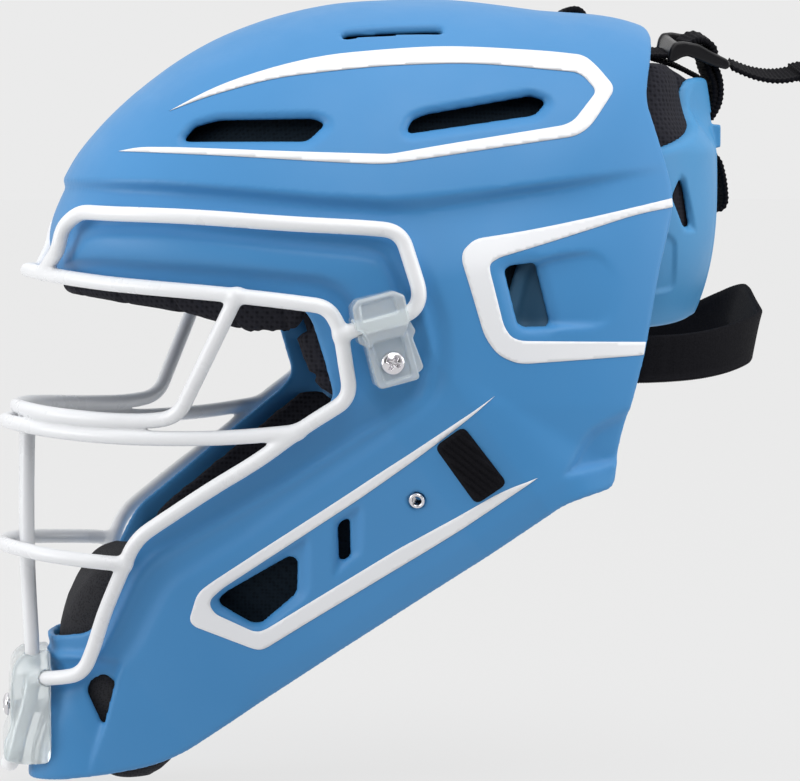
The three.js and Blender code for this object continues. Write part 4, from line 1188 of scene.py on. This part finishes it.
def build_trim():
    for name, points in VENT_LININGS.items():
        piece = inner_sheet(f"vent_lining_{name}", rounded(points, 6))
        finish_piece(piece, "shell")
    for side in (1, -1):
        name = side_name(side)
        piece = skin_sheet(f"side_patch_{name}_webbing", rounded(PATCH, 3), 0.55, patch_lift, 0.05, WEBBING,
                           side)
        finish_piece(piece, "shell", [f"side_patch_{name}"])
        disc = [(0.01, 0), (5.4, 0), (5.9, 0.4), (6, 0.9), (5.8, 1.4), (5.2, 1.7), (0.01, 1.8)]
        piece = turned(f"neck_strap_anchor_{name}_disc", disc, np.array([side * 90.2, 75, 17]), (side, 0, 0),
                       BLACK_PLASTIC, 48)
        fix_normals(piece)
        finish_piece(piece, "shell", [f"neck_strap_anchor_{name}"])
    ear_ramp()
    piece = from_field("crown_strap_anchor_bar", (-13, 77, 141), (13, 91, 150), 0.5, anchor_field,
                       BLACK_PLASTIC)
    finish_piece(piece, "shell", ["crown_strap_anchor"])


def anchor_field(x, y, z):
    bar = smax(smax(np.abs(x) - 11.8, np.abs(y - 84) - 5.8, 3), np.abs(z - 145.8) - 2.6, 1.2)
    dimple = np.sqrt((np.abs(x) - 7) ** 2 + (y - 84) ** 2 + (z - 142.6) ** 2) - 1.6
    return smax(bar, -dimple, 0.4)


def patch_lift(y, z):
    """Diagonal ribs on the jaw patch, thinner towards its edge."""
    edge = outline_distance(PATCH, y, z, 3)
    ribs = 0.5 + 0.5 * np.cos(2 * math.pi * (y * 0.62 + z * 0.78) / 2.3)
    return 0.25 + (0.75 + 0.7 * ribs) * smooth(0, -1.6, edge)


def ear_ramp():
    """The moulded floor of the ear vent, which slopes inward from its rear edge; its darker blue is painted
    shade.
    """
    line = rounded([(30, 42), (35.5, 59), (52, 60), (56, 26), (28, 26)], 1)
    piece = skin_sheet("ear_vent_ramp", line, 2.0, lambda y, z: -2.8 - 4.6 * smooth(47, 36, y), 8.6,
                       RAMP_PAINTED_SHADE_BLUE)
    finish_piece(piece, "shell")


def inner_sheet(name, line):
    """A sheet of lining just inside the shell, on both sides."""
    return skin_sheet(name, line, 3.0, lambda y, z: -8.6 + 0 * y, 10.0, LINING)


build_shell()
build_stripes()
build_cage()
build_fasteners()
build_straps()
ladder_lock()
back_plate()
build_trim()
build_pads()


# Brightness by height, from straight down to straight up.
WALL_LIGHT = [(0.0, 1.4), (0.36, 1.1), (0.47, 0.75), (0.56, 0.75), (0.70, 0.9), (0.93, 1.2)]


# Name, kind, place in metres, size (an angle for the sun, metres for the others) and power.
LAMPS = [("sky", "SUN", (0.5, 0.2, 1.2), math.radians(50), 1.3), ("key", "AREA", (1.2, -0.1, 0.75), 0.7, 5),
         ("front", "AREA", (0.3, -1.6, 0.1), 0.9, 11), ("rear", "AREA", (0.5, 1.6, 0.4), 0.9, 8)]


def glowing(name, value, glow):
    """A surface of the stage that shines evenly and has no gloss."""
    paint = new_material(name, grey(value), 1.0)
    tune(paint, {"Specular IOR Level": 0.0, "Emission Color": (1, 1, 1, 1), "Emission Strength": glow})
    return paint


def view_setup():
    """Camera, light and floor."""
    yaw, rise, distance = math.radians(7.0), math.radians(3.5), 1.5
    direction = Vector((math.cos(rise) * math.cos(yaw), -math.cos(rise) * math.sin(yaw), math.sin(rise)))
    data = bpy.data.cameras.new("camera")
    camera = bpy.data.objects.new("camera", data)
    bpy.context.scene.collection.objects.link(camera)
    camera.location = direction * distance
    camera.rotation_euler = direction.to_track_quat("Z", "Y").to_euler()
    data.sensor_width = 36
    data.lens = 162
    data.clip_end = 200
    bpy.context.scene.camera = camera
    bpy.context.scene.view_settings.view_transform = "Standard"
    floor_z = CAD_BOX[0][2] - 0.004
    bpy.ops.mesh.primitive_plane_add(size=60, location=(0, 0, floor_z))
    floor = bpy.context.object
    floor.name = "floor"
    floor.data.materials.append(glowing("floor_paint", 0.06, 0.74))
    floor.visible_diffuse = False  # the studio's floor throws no light back up
    bpy.ops.mesh.primitive_uv_sphere_add(segments=64, ring_count=32, radius=40)
    backdrop = bpy.context.object
    backdrop.name = "backdrop"
    backdrop.data.materials.append(glowing("backdrop_paint", 0, 0.83))
    backdrop.visible_diffuse = backdrop.visible_glossy = backdrop.visible_shadow = False
    studio_light()


def studio_light():
    """A pale studio, bright all round and above, with a dark opening on the wearer's left."""
    world = bpy.data.worlds.new("world")
    bpy.context.scene.world = world
    world.use_nodes = True
    nodes, links = world.node_tree.nodes, world.node_tree.links
    place = nodes.new("ShaderNodeTexCoord")
    parts = nodes.new("ShaderNodeSeparateXYZ")
    links.new(place.outputs["Generated"], parts.inputs["Vector"])
    height = nodes.new("ShaderNodeMapRange")
    height.inputs["From Min"].default_value = -1
    links.new(parts.outputs["Z"], height.inputs["Value"])
    ramp = nodes.new("ShaderNodeValToRGB")
    set_stops(ramp, [(position, grey(value)) for position, value in WALL_LIGHT])
    links.new(height.outputs["Result"], ramp.inputs["Fac"])
    links.new(ramp.outputs["Color"], nodes["Background"].inputs["Color"])
    opening = nodes.new("ShaderNodeMapRange")
    opening.interpolation_type = "SMOOTHSTEP"
    for socket, value in (("From Min", 0.5), ("From Max", 0.85), ("To Min", 1.0), ("To Max", 0.04)):
        opening.inputs[socket].default_value = value
    links.new(parts.outputs["X"], opening.inputs["Value"])
    links.new(opening.outputs["Result"], nodes["Background"].inputs["Strength"])
    for name, kind, spot, size, power in LAMPS:
        light = bpy.data.lights.new(name, kind)
        light.energy = power
        if kind == "SUN":
            light.angle = size
        else:
            light.size = size
        lamp = bpy.data.objects.new(name, light)
        bpy.context.scene.collection.objects.link(lamp)
        lamp.location = spot
        lamp.rotation_euler = Vector(spot).to_track_quat("Z", "Y").to_euler()


view_setup()
